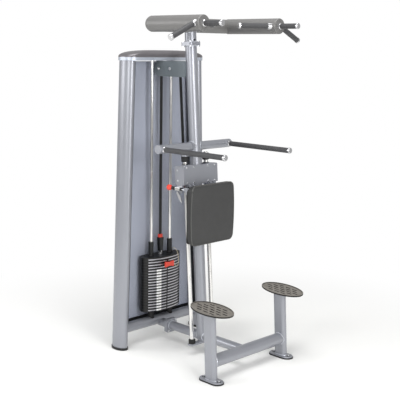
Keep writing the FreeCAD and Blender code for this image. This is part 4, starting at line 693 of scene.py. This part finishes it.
def braided(name, value):
    """Thin braided cord: slanted fine waves that follow the cord's own length and turn."""
    finish = Finish(name, roughness=0.7)
    around = finish.value("UVMap", uv_map="lay")
    wave = finish.add("TexWave", {"Vector": around, "Scale": 1.0, "Distortion": 0.0},
                      bands_direction="DIAGONAL").outputs[1]
    finish.feed(base_color=finish.scaled(finish.spread(wave, 0.0, 1.0, 0.82, 1.08), value),
                normal=finish.bump(wave, 0.4, 0.0004))


# The frame's nodes that have each finish
NODES_OF_FINISH = {
    "silver coat": "main_post chin_stub dip_arms rod_brackets base_beam step_beam step_posts "
                   "tower_column_right tower_column_left tower_base top_beam carriage_front_plate "
                   "carriage_side_plates belt_yoke pad_bracket",
    "chin coat": "chin_cross_tube chin_arms tube_end_caps",
    "cap coat": "top_cap",
    "perforated panel": "rear_panel",
    "pulley box coat": "pulley_box",
    "chrome": "carriage_rods guide_rods pin_block",
    "polished alloy": "grip_collars grip_end_caps chrome_lever",
    "plated steel": "flange_bolts grip_bars pulley_axles selector_stem selector_pin carriage_bolts "
                    "hinge_pins pull_pin",
    "cast alloy": "bearing_blocks",
    "tread alloy": "step_treads",
    "grip rubber": "grip_sleeves",
    "black rubber": "stop_rubbers foot_rubbers",
    "black plastic": "column_trims belt_clevis guide_sleeves rod_bushings pin_nut pin_sleeve rear_pulley "
                     "front_pulley",
    "red plastic": "belt_clamp selector_tag pin_knob",
    "stack paint": "lower_weight_plates lifted_weight_plates stack_head_plate",
    "drive belt": "belt_over_pulleys belt_stack_run belt_carriage_run",
    "braided tether": "pin_tether",
    "pad cover": "pad_cushion",
    "pad board": "pad_board",
}


class MACHINE_OT_finishes(bpy.types.Operator):
    """Makes every finish and gives each node of the frame its own"""
    bl_idname = "machine.finishes"
    bl_label = "Finish The Frame"

    def execute(self, context):
        paint = settings().paint
        metal = settings().metal
        soft = settings().soft
        make_cloudy_tone()
        make_metal_flake()
        make_fine_grain()
        make_brushed_lines()
        make_hole_pattern()
        painted("silver coat", paint.frame_tint)
        painted("chin coat", paint.chin_tint, metallic=0.4, roughness=0.5, coat=0.1,
                below=paint.frame_tint, height=paint.chin_low)
        # The cap's darker crown over a lighter rim is a painted reflection.
        painted("cap coat", paint.cap_crown_reflection_tint, roughness=0.42, below=paint.cap_rim_tint,
                height=paint.cap_rim_top)
        # The pulley box's darker coat is painted shade.
        painted("pulley box coat", paint.box_shaded_tint, metallic=0.2, roughness=0.48, coat=0.1)
        perforated("perforated panel", paint)
        bare_metal("chrome", metal.chrome_tint, 0.13, (1500.0, 1500.0, 20.0), 0.006)
        bare_metal("polished alloy", metal.polish_tint, 0.16, (90.0, 90.0, 90.0), 0.05)
        bare_metal("plated steel", metal.steel_tint, 0.28, (150.0, 150.0, 150.0), 0.08)
        bare_metal("cast alloy", metal.alloy_tint, 0.42, (240.0, 240.0, 240.0), 0.2, 0.8)
        # The treads' slot walls get the painted-shade tint.
        tread_alloy("tread alloy", metal.tread_tint, metal.slot_shade_tint)
        moulded("grip rubber", soft.grip_tint, 0.55, 500.0, 0.4, 0.0005)
        moulded("black rubber", soft.rubber_tint, 0.65, 500.0)
        moulded("black plastic", soft.plastic_tint, 0.42)
        moulded("red plastic", soft.red_tint, 0.36, 1200.0, 0.1, 0.0002)
        stack_paint("stack paint", metal)
        moulded("drive belt", soft.belt_tint, 0.5, 1500.0, 0.3, 0.0002)
        braided("braided tether", soft.tether_tint)
        # The darker boxing behind the seam is painted shade.
        upholstery("pad cover", soft.cover_tint, boxing=soft.boxing_shade_tint,
                   seam=CUSHION_BACK - settings().cushion.seam_depth)
        # The welt's lighter tint is a painted highlight.
        upholstery("pad welt", soft.welt_highlight_tint, 0.26)
        # The weld beads' lighter tint is a painted highlight.
        painted("weld coat", paint.weld_highlight_tint, roughness=0.28)
        moulded("pad board", soft.board_tint, 0.6, 300.0)
        moulded("plate label", soft.label_tint, 0.5, 900.0, 0.05)
        unfinished = set(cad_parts)
        for finish, names in NODES_OF_FINISH.items():
            for name in names.split():
                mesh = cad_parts[name].data
                mesh.materials.clear()
                mesh.materials.append(FINISHES[finish])
                unfinished.remove(name)
        if unfinished:
            raise RuntimeError("no finish for %s" % sorted(unfinished))
        return {"FINISHED"}


# Camera and stage
class MACHINE_OT_camera(bpy.types.Operator):
    """Places the camera"""
    bl_idname = "machine.camera"
    bl_label = "Place The Camera"

    def execute(self, context):
        given = settings().camera
        forward = unit(np.array(given.heading))
        right = unit(np.cross(forward, Z_AXIS))
        up = np.cross(right, forward)
        turned_right = math.cos(given.roll) * right + math.sin(given.roll) * up
        turned_up = math.cos(given.roll) * up - math.sin(given.roll) * right
        camera = bpy.data.objects.new("camera", bpy.data.cameras.new("camera"))
        camera.data.sensor_width = 36
        camera.data.lens = given.lens
        camera.data.shift_y = given.shift_up
        camera.data.clip_end = 100
        turn = np.eye(4)
        turn[:3, :3] = np.stack([turned_right, turned_up, -forward], axis=1)
        turn[:3, 3] = given.place
        camera.matrix_world = Matrix(turn.tolist())
        context.scene.collection.objects.link(camera)
        context.scene.camera = camera
        context.scene.view_settings.view_transform = "Standard"
        return {"FINISHED"}


# Each lamp's place and size
LAMPS = {"key": ((-5.0, -1.2, 2.8), 2.2), "fill": ((-1.3, -5.2, 2.4), 2.0),
         "top": ((-0.6, -0.6, 5.2), 3.0), "back": ((-3.8, 3.4, 2.6), 2.0)}
LAMP_TARGET = (0, 0, 1.1)
FLOOR_RINGS = (0.0005, 1.0, 3.0)


def soft_lamp(name, place, size, power):
    """Square lamp that faces the machine's middle."""
    lamp = bpy.data.lights.new(name, "AREA")
    lamp.size = size
    lamp.energy = power
    holder = bpy.data.objects.new(name, lamp)
    holder.location = place
    holder.rotation_euler = (Vector(LAMP_TARGET) - Vector(place)).to_track_quat("-Z", "Y").to_euler()
    bpy.context.scene.collection.objects.link(holder)


class MACHINE_OT_stage(bpy.types.Operator):
    """Makes the pale floor, the even sky and the soft lamps"""
    bl_idname = "machine.stage"
    bl_label = "Build The Stage"

    def execute(self, context):
        given = settings().stage
        world = bpy.data.worlds.new("studio")
        context.scene.world = world
        world.use_nodes = True
        world.node_tree.nodes.clear()
        sky = Nodes(world.node_tree)
        seen = sky.add("LightPath").outputs["Is Camera Ray"]
        level = sky.spread(seen, 0.0, 1.0, given.sky_level, 1.0)
        sky.add("OutputWorld", {0: sky.value("Background", {"Color": (1, 1, 1, 1), "Strength": level})})

        radius = np.array([*FLOOR_RINGS, given.floor_radius])[:, None, None]
        corners, cells = patch(radius * circle(X_AXIS, Y_AXIS, 96), loop_columns=True)
        mesh = bpy.data.meshes.new("floor")
        mesh.from_pydata(corners.tolist(), [], cells)
        finish = Finish("floor", base_color=given.floor_tint, roughness=0.9)
        far = finish.add("VectorMath", {0: finish.place}, operation="LENGTH").outputs["Value"]
        fade = finish.spread(far, given.fade_start, given.fade_end, interpolation_type="SMOOTHSTEP")
        mask = finish.product(fade, finish.add("LightPath").outputs["Is Camera Ray"])
        white = finish.value("Emission", {"Color": (1, 1, 1, 1), "Strength": 1.0})
        seen = finish.value("MixShader", {0: mask, 1: finish.shader.outputs[0], 2: white})
        finish.join(seen, finish.output)
        mesh.materials.append(FINISHES["floor"])
        floor = bpy.data.objects.new("floor", mesh)
        context.scene.collection.objects.link(floor)

        for name, (place, size) in LAMPS.items():
            soft_lamp(name + "_lamp", place, size, getattr(given, name + "_power"))
        return {"FINISHED"}


# Tether of the selector pin
TETHER_POINTS = [
    at(118, 440, 607), at(118, 440, 621), at(116, 424, 632), at(108, 392, 628), at(102, 365, 606),
    at(105, 362, 575), at(113, 368, 553), at(115, 370, 532), at(107, 367, 517), at(86, 361, 510),
    at(68, 352, 514), at(58, 343, 528), at(52, 340.5, 544), at(40.4, 340.5, 546),
]
TETHER_STEPS = 12
TETHER_SIDES = 12
LAY_PER_DIAMETER = 2
LAY_PER_TURN = 3


def spline_points(name, points, resolution):
    """Points of the smooth curve that a row of control points guides, read from the curve itself."""
    curve = bpy.data.curves.new(name, "CURVE")
    curve.dimensions = "3D"
    spline = curve.splines.new("NURBS")
    spline.points.add(len(points) - 1)
    spline.points.foreach_set("co", np.hstack([np.array(points), np.ones((len(points), 1))]).ravel())
    spline.order_u = 3
    spline.use_endpoint_u = True
    spline.resolution_u = resolution
    holder = bpy.data.objects.new(name, curve)
    bpy.context.scene.collection.objects.link(holder)
    bpy.context.view_layer.update()
    line = bpy.data.meshes.new_from_object(holder)
    path = read_vertices(line)
    bpy.data.objects.remove(holder)
    bpy.data.meshes.remove(line)
    bpy.data.curves.remove(curve)
    return path


class MACHINE_OT_tether(bpy.types.Operator):
    """Makes the thin cord from the head plate to the selector's tag"""
    bl_idname = "machine.tether"
    bl_label = "Make The Pin Tether"

    def execute(self, context):
        given = settings().tether
        path = spline_points("tether_route", TETHER_POINTS, TETHER_STEPS)
        tangent = unit(np.gradient(path, axis=0))
        flat = np.linalg.svd(path - path.mean(0))[2][2]
        across = unit(np.cross(tangent, flat))
        outward = np.cross(across, tangent)
        outline = circle(X_AXIS, Y_AXIS, TETHER_SIDES)[:, :2] * given.diameter / 2
        cord = make_piece("tether_cord", [swept(path, across, outward, outline)], "braided tether")

        mesh = cord.data
        corner = np.zeros(len(mesh.loops), int)
        mesh.loops.foreach_get("vertex_index", corner)
        place = read_vertices(mesh)[corner]
        near = np.linalg.norm(place[:, None] - path[None], axis=2).argmin(axis=1)
        out = place - path[near]
        angle = np.arctan2((out * outward[near]).sum(1), (out * across[near]).sum(1)) / FULL_TURN
        run = np.concatenate([[0], np.cumsum(np.linalg.norm(np.diff(path, axis=0), axis=1))])
        lay = np.stack([run[near] / given.diameter * LAY_PER_DIAMETER, angle * LAY_PER_TURN], axis=1)
        mesh.uv_layers.new(name="lay").data.foreach_set("uv", lay.ravel())
        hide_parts("pin_tether")
        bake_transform(cord)
        return {"FINISHED"}


# Belt
REAR_AXLE = at(0, 398, 1894)
FRONT_AXLE = at(0, 293, 1894)
BELT_WRAP_STEPS = 25
BELT_RUN_STEPS = 72
BELT_COLUMNS = 41
BELT_EDGE_POWER = 24
BELT_GROOVED = 0.95


def belt_outline(given):
    """Flat belt's section: half as thick as t*sqrt(1 - |u|**24), less a cosine's grooves in both faces."""
    u = np.linspace(-1, 1, BELT_COLUMNS)
    depth = given.groove * (0.5 - 0.5 * np.cos(FULL_TURN * given.grooves * (u + 1) / 2))
    half = given.thickness / 2 * np.sqrt(np.clip(1 - np.abs(u) ** BELT_EDGE_POWER, 0, 1))
    top = np.stack([given.half_width * u, half - depth * (np.abs(u) < BELT_GROOVED)], axis=1)
    return np.concatenate([top[1:-1], top[::-1] * (1, -1)])


def belt_piece(name, path, outward, given):
    """Belt along a path, flat to the outward directions."""
    outward = np.broadcast_to(outward, path.shape)
    across = np.tile(X_AXIS, (len(path), 1))
    return make_piece(name, [swept(path, across, outward, belt_outline(given))], "drive belt")


def straight_run(start, end):
    """Evenly spaced points from start to end."""
    return start + np.linspace(0, 1, BELT_RUN_STEPS)[:, None] * (end - start)


class MACHINE_OT_belt(bpy.types.Operator):
    """Makes the belt over the pulleys and its two runs"""
    bl_idname = "machine.belt"
    bl_label = "Make The Belt"

    def execute(self, context):
        given = settings().belt
        reach = BELT_RADIUS / 1000
        down_out = np.array([0, -math.cos(LEAN), math.sin(LEAN)])

        rear_turn = np.linspace(0, math.pi / 2, BELT_WRAP_STEPS)
        front_turn = np.linspace(math.pi / 2, math.pi - LEAN, BELT_WRAP_STEPS)
        angles = np.concatenate([rear_turn, front_turn])
        centres = np.repeat([REAR_AXLE, FRONT_AXLE], BELT_WRAP_STEPS, axis=0)
        outward = np.stack([np.zeros_like(angles), np.cos(angles), np.sin(angles)], axis=1)
        wrap = belt_piece("belt_over_pulleys_dressed", centres + reach * outward, outward, given)
        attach(wrap, "frame")
        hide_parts("belt_over_pulleys")

        top = REAR_AXLE + reach * Y_AXIS
        low = top.copy()
        low[2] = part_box("belt_stack_run")[0].z
        run = belt_piece("belt_to_stack", straight_run(low, top), Y_AXIS, given)
        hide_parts("belt_stack_run")
        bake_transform(run)

        top = FRONT_AXLE + reach * down_out
        drop = (top[2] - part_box("belt_carriage_run")[0].z) / math.cos(LEAN)
        low = top - drop * np.array([0, math.sin(LEAN), math.cos(LEAN)])
        run = belt_piece("belt_to_carriage", straight_run(low, top), down_out, given)
        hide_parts("belt_carriage_run")
        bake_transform(run)
        return {"FINISHED"}


# Top cap, and the panel's lower trim, whose black paints the shade in the gap below the panel
CAP_ROWS = 22
TRIM_SHEET = 0.0015
TRIM_LEDGE = 0.012
TRIM_INSET = 0.002
TRIM_OVERLAP = 0.004


def cap_shell(given, inset):
    """Rings t*outline at rim + crown*(1 - t**fullness)**0.5, from the foot up to the middle."""
    outline = rounded_outline(given.half_width - inset, given.half_depth - inset, given.corner - inset)
    reach = np.concatenate([[1, 1], np.sin(np.linspace(math.pi / 2, 0, CAP_ROWS))[1:]])
    height = given.rim - inset + given.crown * np.sqrt(1 - reach ** given.fullness)
    height[0] = 0
    points = np.zeros((len(reach), len(outline), 3))
    points[:, :, :2] = reach[:, None, None] * outline[None]
    points[:, :, 2] = height[:, None]
    return points + at(0, TOWER_Y, CAP_LOW)


class MACHINE_OT_cap(bpy.types.Operator):
    """Makes the moulded cap with its full rounded crown, and the trim under the rear panel, black to paint
    the shade in the gap there
    """
    bl_idname = "machine.cap"
    bl_label = "Make The Top Cap"

    def execute(self, context):
        given = settings().cap
        outer = cap_shell(given, 0)
        inner = cap_shell(given, given.wall)
        foot = np.stack([outer[0], inner[0]])
        shells = [patch(rows, loop_columns=True) for rows in (outer, inner, foot)]
        # Its coat's darker crown is a painted reflection.
        cap = make_piece("tower_cap", shells, "cap coat")
        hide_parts("top_cap")
        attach(cap, "frame")

        # The trim is black so that it paints the shade between the rear panel and the tower's base.
        box_low, box_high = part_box("rear_panel")
        half = box_high.x - TRIM_INSET
        high = box_low.z + TRIM_OVERLAP
        low = box_low.z - given.skirt
        back = depth(PANEL_BACK) + TRIM_SHEET
        ledge = low + TRIM_SHEET
        section = [(back, high), (back, low), (back - TRIM_LEDGE, low), (back - TRIM_LEDGE, ledge),
                   (back - TRIM_SHEET, ledge), (back - TRIM_SHEET, high)]
        ends = np.array([[(side * half, y, z) for y, z in section] for side in SIDES])
        skirt = make_piece("panel_skirt", [patch(ends, loop_columns=True, caps=True)], "black plastic")
        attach(skirt, "frame")
        return {"FINISHED"}


# Cushion
SEAM_INSET = 0.0015
# The cover before it swells, from its back to its front: how far each ring is drawn in, how far it stands
# off the board as a share of the seam's depth and as a share of the crown, and a further step forward.
CUSHION_RINGS = (
    (0.19, 0, 0, 0), (0.012, 0, 0, 0), (0.004, 0, 0, 0.002), (0.001, 0, 0, 0.01), (0, 0.5, 0, 0),
    (0, 0.85, 0, 0), (SEAM_INSET, 1, 0, 0), (0.006, 1, 0.55, 0), (0.02, 1, 0.9, 0), (0.06, 1, 1, 0),
    (0.19, 1, 1, 0),
)
CORNER_SHRINK, CORNER_LEAST = 0.6, 0.006
HELD_BACK, HELD_SEAM_CELLS = 0.004, 0.9
SEAM_SINK, SEAM_SINK_REACH = 0.0016, 0.0045
PUCKER, PUCKER_PLACE, PUCKER_REACH = 0.00035, 0.008, 0.007
PUCKERS_ROUND, PUCKER_DRIFT = 86, 7
WELT_SIDES = 10


def cushion_middle(given):
    """Height of the cushion's middle, and half of its height."""
    return (given.top + given.bottom) / 2, (given.top - given.bottom) / 2


def side_bulge(rise, given):
    """Share of the half width at a height about the middle: 1 - b*(rise/half height)**2."""
    return 1 - given.bulge * (rise / cushion_middle(given)[1]) ** 2


def cushion_ring(given, inset, y):
    """The cushion's outline drawn in by an inset, at one depth."""
    middle, half = cushion_middle(given)
    radius = max(given.corner - inset * CORNER_SHRINK, CORNER_LEAST)
    outline = rounded_outline(given.half_width - inset, half - inset, radius)
    across = outline[:, 0] * side_bulge(outline[:, 1], given)
    return np.stack([across, np.full(len(outline), y), outline[:, 1] + middle], axis=1)


def seam_distance(points, given):
    """How far points are from the seam: across its plane from its outline, which is a rounded rectangle
    with bulging sides, and along Y, put together as sqrt(a**2 + b**2)."""
    middle, half = cushion_middle(given)
    core = np.array([given.half_width, half]) - SEAM_INSET - given.corner
    flat = points[:, [0, 2]] - (0, middle)
    flat[:, 0] /= side_bulge(flat[:, 1], given)
    beyond = np.abs(flat) - core
    outside = np.linalg.norm(np.clip(beyond, 0, None), axis=1) + np.clip(beyond.max(axis=1), None, 0)
    return np.hypot(outside - given.corner, points[:, 1] - (CUSHION_BACK - given.seam_depth))


def evaluated_mesh(piece):
    """A new mesh of the piece as its modifiers show it."""
    graph = bpy.context.evaluated_depsgraph_get()
    return bpy.data.meshes.new_from_object(piece.evaluated_get(graph))


def modified(piece, kind, **options):
    """Gives the piece the mesh that a modifier makes of it, and takes the modifier away."""
    modifier = piece.modifiers.new("change", kind)
    for key, value in options.items():
        setattr(modifier, key, value)
    mesh = evaluated_mesh(piece)
    piece.modifiers.remove(modifier)
    piece.data = mesh


def swell(piece, given):
    """Fills the cover with pressure while its back and its seam are held, and caps how far it moves."""
    scene = bpy.context.scene
    start = read_vertices(piece.data)
    near_seam = seam_distance(start, given) < given.voxel * HELD_SEAM_CELLS
    held = (start[:, 1] > CUSHION_BACK - HELD_BACK) | near_seam
    pinned = piece.vertex_groups.new(name="held")
    pinned.add(np.flatnonzero(held).tolist(), 1.0, "REPLACE")
    cloth = piece.modifiers.new("cover", "CLOTH")
    cloth.settings.use_pressure = True
    cloth.settings.uniform_pressure_force = given.pressure
    cloth.settings.effector_weights.gravity = 0
    cloth.settings.vertex_group_mass = "held"
    cloth.settings.quality = 5
    cloth.point_cache.frame_start = 1
    cloth.point_cache.frame_end = given.frames
    for step in range(1, given.frames + 1):
        scene.frame_set(step)
    settled = evaluated_mesh(piece)
    moved = read_vertices(settled) - start
    size = np.linalg.norm(moved, axis=1, keepdims=True)
    moved *= np.minimum(1, given.swell_limit / np.maximum(size, 1e-9))
    piece.modifiers.remove(cloth)
    bpy.data.meshes.remove(settled)
    piece.data.vertices.foreach_set("co", (start + moved).ravel())
    piece.data.update()
    scene.frame_set(1)


class MACHINE_OT_cushion(bpy.types.Operator):
    """Makes the knee pad's filled cover, its seam and its welt"""
    bl_idname = "machine.cushion"
    bl_label = "Make The Knee Cushion"

    def execute(self, context):
        given = settings().cushion
        grid = np.stack([
            cushion_ring(given, inset, CUSHION_BACK - deep * given.seam_depth - crown * given.crown - step)
            for inset, deep, crown, step in CUSHION_RINGS])
        cushion = make_piece("knee_cushion", [patch(grid, loop_columns=True, caps=True)], "pad cover")
        modified(cushion, "REMESH", mode="VOXEL", voxel_size=given.voxel, use_smooth_shade=True)
        swell(cushion, given)
        modified(cushion, "SUBSURF", levels=1, render_levels=1)
        mesh = cushion.data
        points = read_vertices(mesh)
        near = seam_distance(points, given)
        sink = SEAM_SINK * np.exp(-(near / SEAM_SINK_REACH) ** 2)
        turn = np.arctan2(points[:, 2] - cushion_middle(given)[0], points[:, 0])
        wave = np.sin(turn * PUCKERS_ROUND + 2 * np.sin(turn * PUCKER_DRIFT))
        pucker = PUCKER * wave * np.exp(-((near - PUCKER_PLACE) / PUCKER_REACH) ** 2)
        points += read_vertices(mesh, "normal") * (pucker - sink)[:, None]
        points[:, 1] = np.minimum(points[:, 1], CUSHION_BACK)
        mesh.vertices.foreach_set("co", points.ravel())
        dress(mesh, "pad cover")
        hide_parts("pad_cushion")
        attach(cushion, "pad")

        line = cushion_ring(given, SEAM_INSET, CUSHION_BACK - given.seam_depth)
        forward = np.tile(-Y_AXIS, (len(line), 1))
        aside = unit(np.cross(loop_tangent(line), forward))
        tube = patch(line[:, None] + given.piping * circle(aside, forward, WELT_SIDES), loop_rows=True,
                     loop_columns=True)
        welt = make_piece("cushion_welt", [tube], "pad welt")
        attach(welt, "pad")
        return {"FINISHED"}


# Weld beads
BEAD_SIDES = 8
LEAST_RIPPLES = 8
TUBE_STEPS = 120
CIRCLE_STEPS = 96
BEAM_BEAD_START = (0.3, 0.2, 1.0)


def seam_bead(path, first, second, given):
    """Bead in the corner between surfaces that face first and second: p + r*(cos t*side + sin t*across),
    where side is halfway between the two and the radius r ripples along the seam."""
    step = np.linalg.norm(np.roll(path, -1, axis=0) - path, axis=1)
    run = np.concatenate([[0], np.cumsum(step)[:-1]]) / step.sum()
    ripples = max(LEAST_RIPPLES, round(step.sum() / given.ripple_pitch))
    radius = given.bead * (1 + given.ripple * np.sin(ripples * FULL_TURN * run))
    side = unit(first + second)
    across = np.cross(loop_tangent(path), side)
    return patch(path[:, None] + radius[:, None, None] * circle(side, across, BEAD_SIDES),
                 loop_rows=True, loop_columns=True)


def tube_bead(tube, other, heading, given):
    """Bead where a tube meets another, each given as a point, an axis and a radius: along each line
    p + s*axis of the first, s is where the distance from the other's axis equals its radius, the root of a
    quadratic on the side of the heading."""
    centre, axis, radius = tube
    other_centre, other_axis, other_radius = other
    radial = circle(*square_to(axis, other_axis), TUBE_STEPS)
    start = centre + radius / 1000 * radial - other_centre
    start_flat = start - (start @ other_axis)[:, None] * other_axis
    axis_flat = axis - (axis @ other_axis) * other_axis
    a = axis_flat @ axis_flat
    b = 2 * start_flat @ axis_flat
    c = (start_flat ** 2).sum(1) - (other_radius / 1000) ** 2
    s = (-b + heading * np.sqrt(np.clip(b * b - 4 * a * c, 0, None))) / (2 * a)
    out = start + s[:, None] * axis
    path = other_centre + out
    out -= (out @ other_axis)[:, None] * other_axis
    return seam_bead(path, radial, unit(out), given)


def flange_beads(place, axis, helper, radius, given):
    """Beads round a tube on the outer faces of two flanges: circles in planes square to the axis."""
    radial = circle(*square_to(axis, helper), CIRCLE_STEPS)
    return [seam_bead(place(side * FLANGE) + radius / 1000 * radial, radial, side * axis, given)
            for side in SIDES]


def foot_bead(centre, given):
    """Bead round a step post where it meets its foot plate: a rectangle with fully rounded ends."""
    half_x, half_y = STEP_POST_HALF_X / 1000, STEP_POST_HALF_Y / 1000
    outline = rounded_outline(half_x, half_y, half_x * 0.999, 16, 14)
    path = np.stack([outline[:, 0], outline[:, 1], np.zeros(len(outline))], axis=1)
    return seam_bead(path + centre, np.cross(loop_tangent(path), Z_AXIS), Z_AXIS, given)


def step_beam_bead(side, given):
    """Bead round the step beam's end: a circle carried along X onto the step post's rounded side, which
    stands out from the post's middle by sqrt(r**2 - max(|y| - r, 0)**2)."""
    radial = circle(Y_AXIS, Z_AXIS, TUBE_STEPS)
    half = STEP_POST_HALF_X / 1000
    offset = STEP_RADIUS / 1000 * radial
    bulge = np.sqrt(half ** 2 - np.clip(np.abs(offset[:, 1]) - half, 0, None) ** 2)
    path = at(side * STEP_POST_X, STEP_Y, STEP_Z) + offset - side * bulge[:, None] * X_AXIS
    return seam_bead(path, radial, -side * X_AXIS, given)


class MACHINE_OT_welds(bpy.types.Operator):
    """Makes the weld beads where the tubes meet"""
    bl_idname = "machine.welds"
    bl_label = "Make The Weld Beads"

    def execute(self, context):
        given = settings().weld
        up = np.array([0, math.sin(LEAN), math.cos(LEAN)])
        post = (along_post(0), up, POST_RADIUS)
        chin = (at(0, CHIN_TUBE_Y, CHIN_TUBE_Z), X_AXIS, CHIN_TUBE_RADIUS)
        dip = (along_post(DIP_HEIGHT / math.cos(LEAN)), X_AXIS, DIP_RADIUS)
        beam = (at(0, 0, BEAM_Z), Y_AXIS, BEAM_RADIUS)
        step = (at(0, STEP_Y, STEP_Z), X_AXIS, STEP_RADIUS)

        head = flange_beads(lambda rise: along_post(HEAD_JOINT + rise), up, X_AXIS, POST_RADIUS, given)
        head.append(tube_bead(post, chin, -1, given))
        head += [tube_bead(dip, post, side, given) for side in SIDES]
        piece = make_piece("weld_beads_head", head, "weld coat")
        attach(piece, "frame")

        base = flange_beads(lambda back: at(0, BEAM_JOINT + back, BEAM_Z), Y_AXIS, BEAM_BEAD_START,
                            BEAM_RADIUS, given)
        base.append(tube_bead(beam, step, 1, given))
        base += [tube_bead(beam, post, side, given) for side in SIDES]
        for side in SIDES:
            base.append(step_beam_bead(side, given))
            base.append(foot_bead(at(side * STEP_POST_X, FOOT_BEAD_Y, FOOT_BEAD_Z), given))
        piece = make_piece("weld_beads_base", base, "weld coat")
        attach(piece, "frame")
        return {"FINISHED"}


# Labels on the plates
LABELS = 15
LABEL_RISE = 0.485
LABEL_SINK = 0.0006
LABEL_COLUMNS = 9


def plate_front(x):
    """Y in millimetres of the weight plates' rim at a sideways place: the front of an ellipse."""
    return TOWER_Y - PLATE_HALF_DEPTH * np.sqrt(1 - (x / PLATE_HALF_WIDTH) ** 2)


class MACHINE_OT_labels(bpy.types.Operator):
    """Makes the blank pale plaques on the resting weight plates"""
    bl_idname = "machine.labels"
    bl_label = "Make The Plate Labels"

    def execute(self, context):
        given = settings().mark
        low, pitch = plate_steps()
        x = (given.middle + np.linspace(-1, 1, LABEL_COLUMNS) * given.half_width) * 1000
        row = at(x, plate_front(x), 0 * x).T
        rise = np.linspace(-1, 1, 3) * given.half_height
        patches = []
        for index in range(LABELS):
            face = row + (low + pitch * (index + LABEL_RISE) + rise)[:, None, None] * Z_AXIS
            ring = np.concatenate([face[0], face[1:-1, -1], face[-1, ::-1], face[1:-1, 0]])
            rings = np.stack([ring - given.lift * Y_AXIS, ring + LABEL_SINK * Y_AXIS])
            patches.append(patch(rings, loop_columns=True, caps=True))
        piece = make_piece("plate_labels", patches, "plate label")
        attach(piece, "frame")
        return {"FINISHED"}


# Screws
PANEL_MARGIN = 0.04
PANEL_TAPER = 0.0567
BRACKET_SCREWS = [(x, z) for x in (-0.1, 0.0, 0.1) for z in (0.95, 1.085)]
SCREW_SINK = 0.0006
SCREW_TIP = 0.0004
WASHER_SINK = 0.0005
CHAMFER_RISE, CHAMFER_REACH = 0.85, 0.82


def screw_head(place, heading, given):
    """Low domed head: a quarter ellipse turned about the screw's axis."""
    rise = np.linspace(0, math.pi / 2, 6)
    profile = np.stack([np.cos(rise) * given.head_radius, np.sin(rise) * given.head_height], axis=1)
    profile = np.concatenate([[[given.head_radius, -SCREW_SINK]], profile])
    profile[-1, 0] = SCREW_TIP
    return lathe(profile, place, heading, 16)


class MACHINE_OT_screws(bpy.types.Operator):
    """Makes the screws of the rear panel and of the pad's bracket, and the foot plates' anchor bolts"""
    bl_idname = "machine.screws"
    bl_label = "Make The Screws"

    def execute(self, context):
        given = settings().screw
        low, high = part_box("rear_panel")
        rows = np.linspace(low.z + PANEL_MARGIN, high.z - PANEL_MARGIN, given.panel_rows)
        reach = high.x - given.edge_gap - (rows - low.z) / (high.z - low.z) * PANEL_TAPER
        patches = []
        for side in SIDES:
            for x, z in zip(reach, rows):
                for y, heading in ((PANEL_BACK, Y_AXIS), (PANEL_FRONT, -Y_AXIS)):
                    patches.append(screw_head(np.array([side * x, depth(y), z]), heading, given))
        piece = make_piece("panel_screws", patches, "plated steel")
        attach(piece, "frame")

        patches = [screw_head(np.array([x, depth(BRACKET_BACK), z]), Y_AXIS, given)
                   for x, z in BRACKET_SCREWS]
        piece = make_piece("bracket_screws", patches, "plated steel")
        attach(piece, "pad")

        heads = []
        washers = []
        washer = [(given.washer_radius, -WASHER_SINK), (given.washer_radius, given.washer_height)]
        head = [(given.anchor_radius, 0.0), (given.anchor_radius, given.anchor_height * CHAMFER_RISE),
                (given.anchor_radius * CHAMFER_REACH, given.anchor_height)]
        for side in SIDES:
            for sign in SIDES:
                place = at(side * STEP_POST_X, FOOT_Y + sign * ANCHOR_REACH, FOOT_TOP)
                washers.append(lathe(washer, place, Z_AXIS, 24))
                heads.append(lathe(head, place + given.washer_height * Z_AXIS, Z_AXIS, 6))
        piece = make_piece("anchor_washers", washers, "black plastic")
        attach(piece, "frame")
        piece = make_piece("anchor_bolts", heads, "plated steel")
        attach(piece, "frame")
        return {"FINISHED"}


# The steps, in the order that builds the machine
OPERATORS = (
    MACHINE_OT_camera, MACHINE_OT_finishes, MACHINE_OT_tether, MACHINE_OT_cushion, MACHINE_OT_cap,
    MACHINE_OT_belt, MACHINE_OT_welds, MACHINE_OT_labels, MACHINE_OT_screws, MACHINE_OT_stage,
)


class MACHINE_PT_panel(bpy.types.Panel):
    """Lists the machine's settings and the steps that build it"""
    bl_idname = "MACHINE_PT_panel"
    bl_label = "Chin Dip Machine"
    bl_space_type = "VIEW_3D"
    bl_region_type = "UI"
    bl_category = "Chin Dip Machine"

    def draw(self, context):
        for operator in OPERATORS:
            self.layout.operator(operator.bl_idname)
        for title in MachineSettings.__annotations__:
            chosen = getattr(settings(), title)
            box = self.layout.box()
            box.label(text=title.title())
            for name in type(chosen).__annotations__:
                box.prop(chosen, name)


CLASSES = (
    CameraSettings, StageSettings, PaintSettings, MetalSettings, SoftSettings, CushionSettings,
    CapSettings, BeltSettings, TetherSettings, WeldSettings, MarkSettings, ScrewSettings,
    MachineSettings, *OPERATORS, MACHINE_PT_panel,
)


def register():
    """Adds the settings, the steps and the panel."""
    for kind in CLASSES:
        bpy.utils.register_class(kind)
    bpy.types.Scene.chin_dip_machine = bpy.props.PointerProperty(type=MachineSettings)


def unregister():
    """Takes them away again."""
    del bpy.types.Scene.chin_dip_machine
    for kind in reversed(CLASSES):
        bpy.utils.unregister_class(kind)


def main():
    """Builds the machine."""
    register()
    for step in OPERATORS:
        getattr(bpy.ops.machine, step.bl_idname.split(".")[1])()


if __name__ == "__main__":
    main()
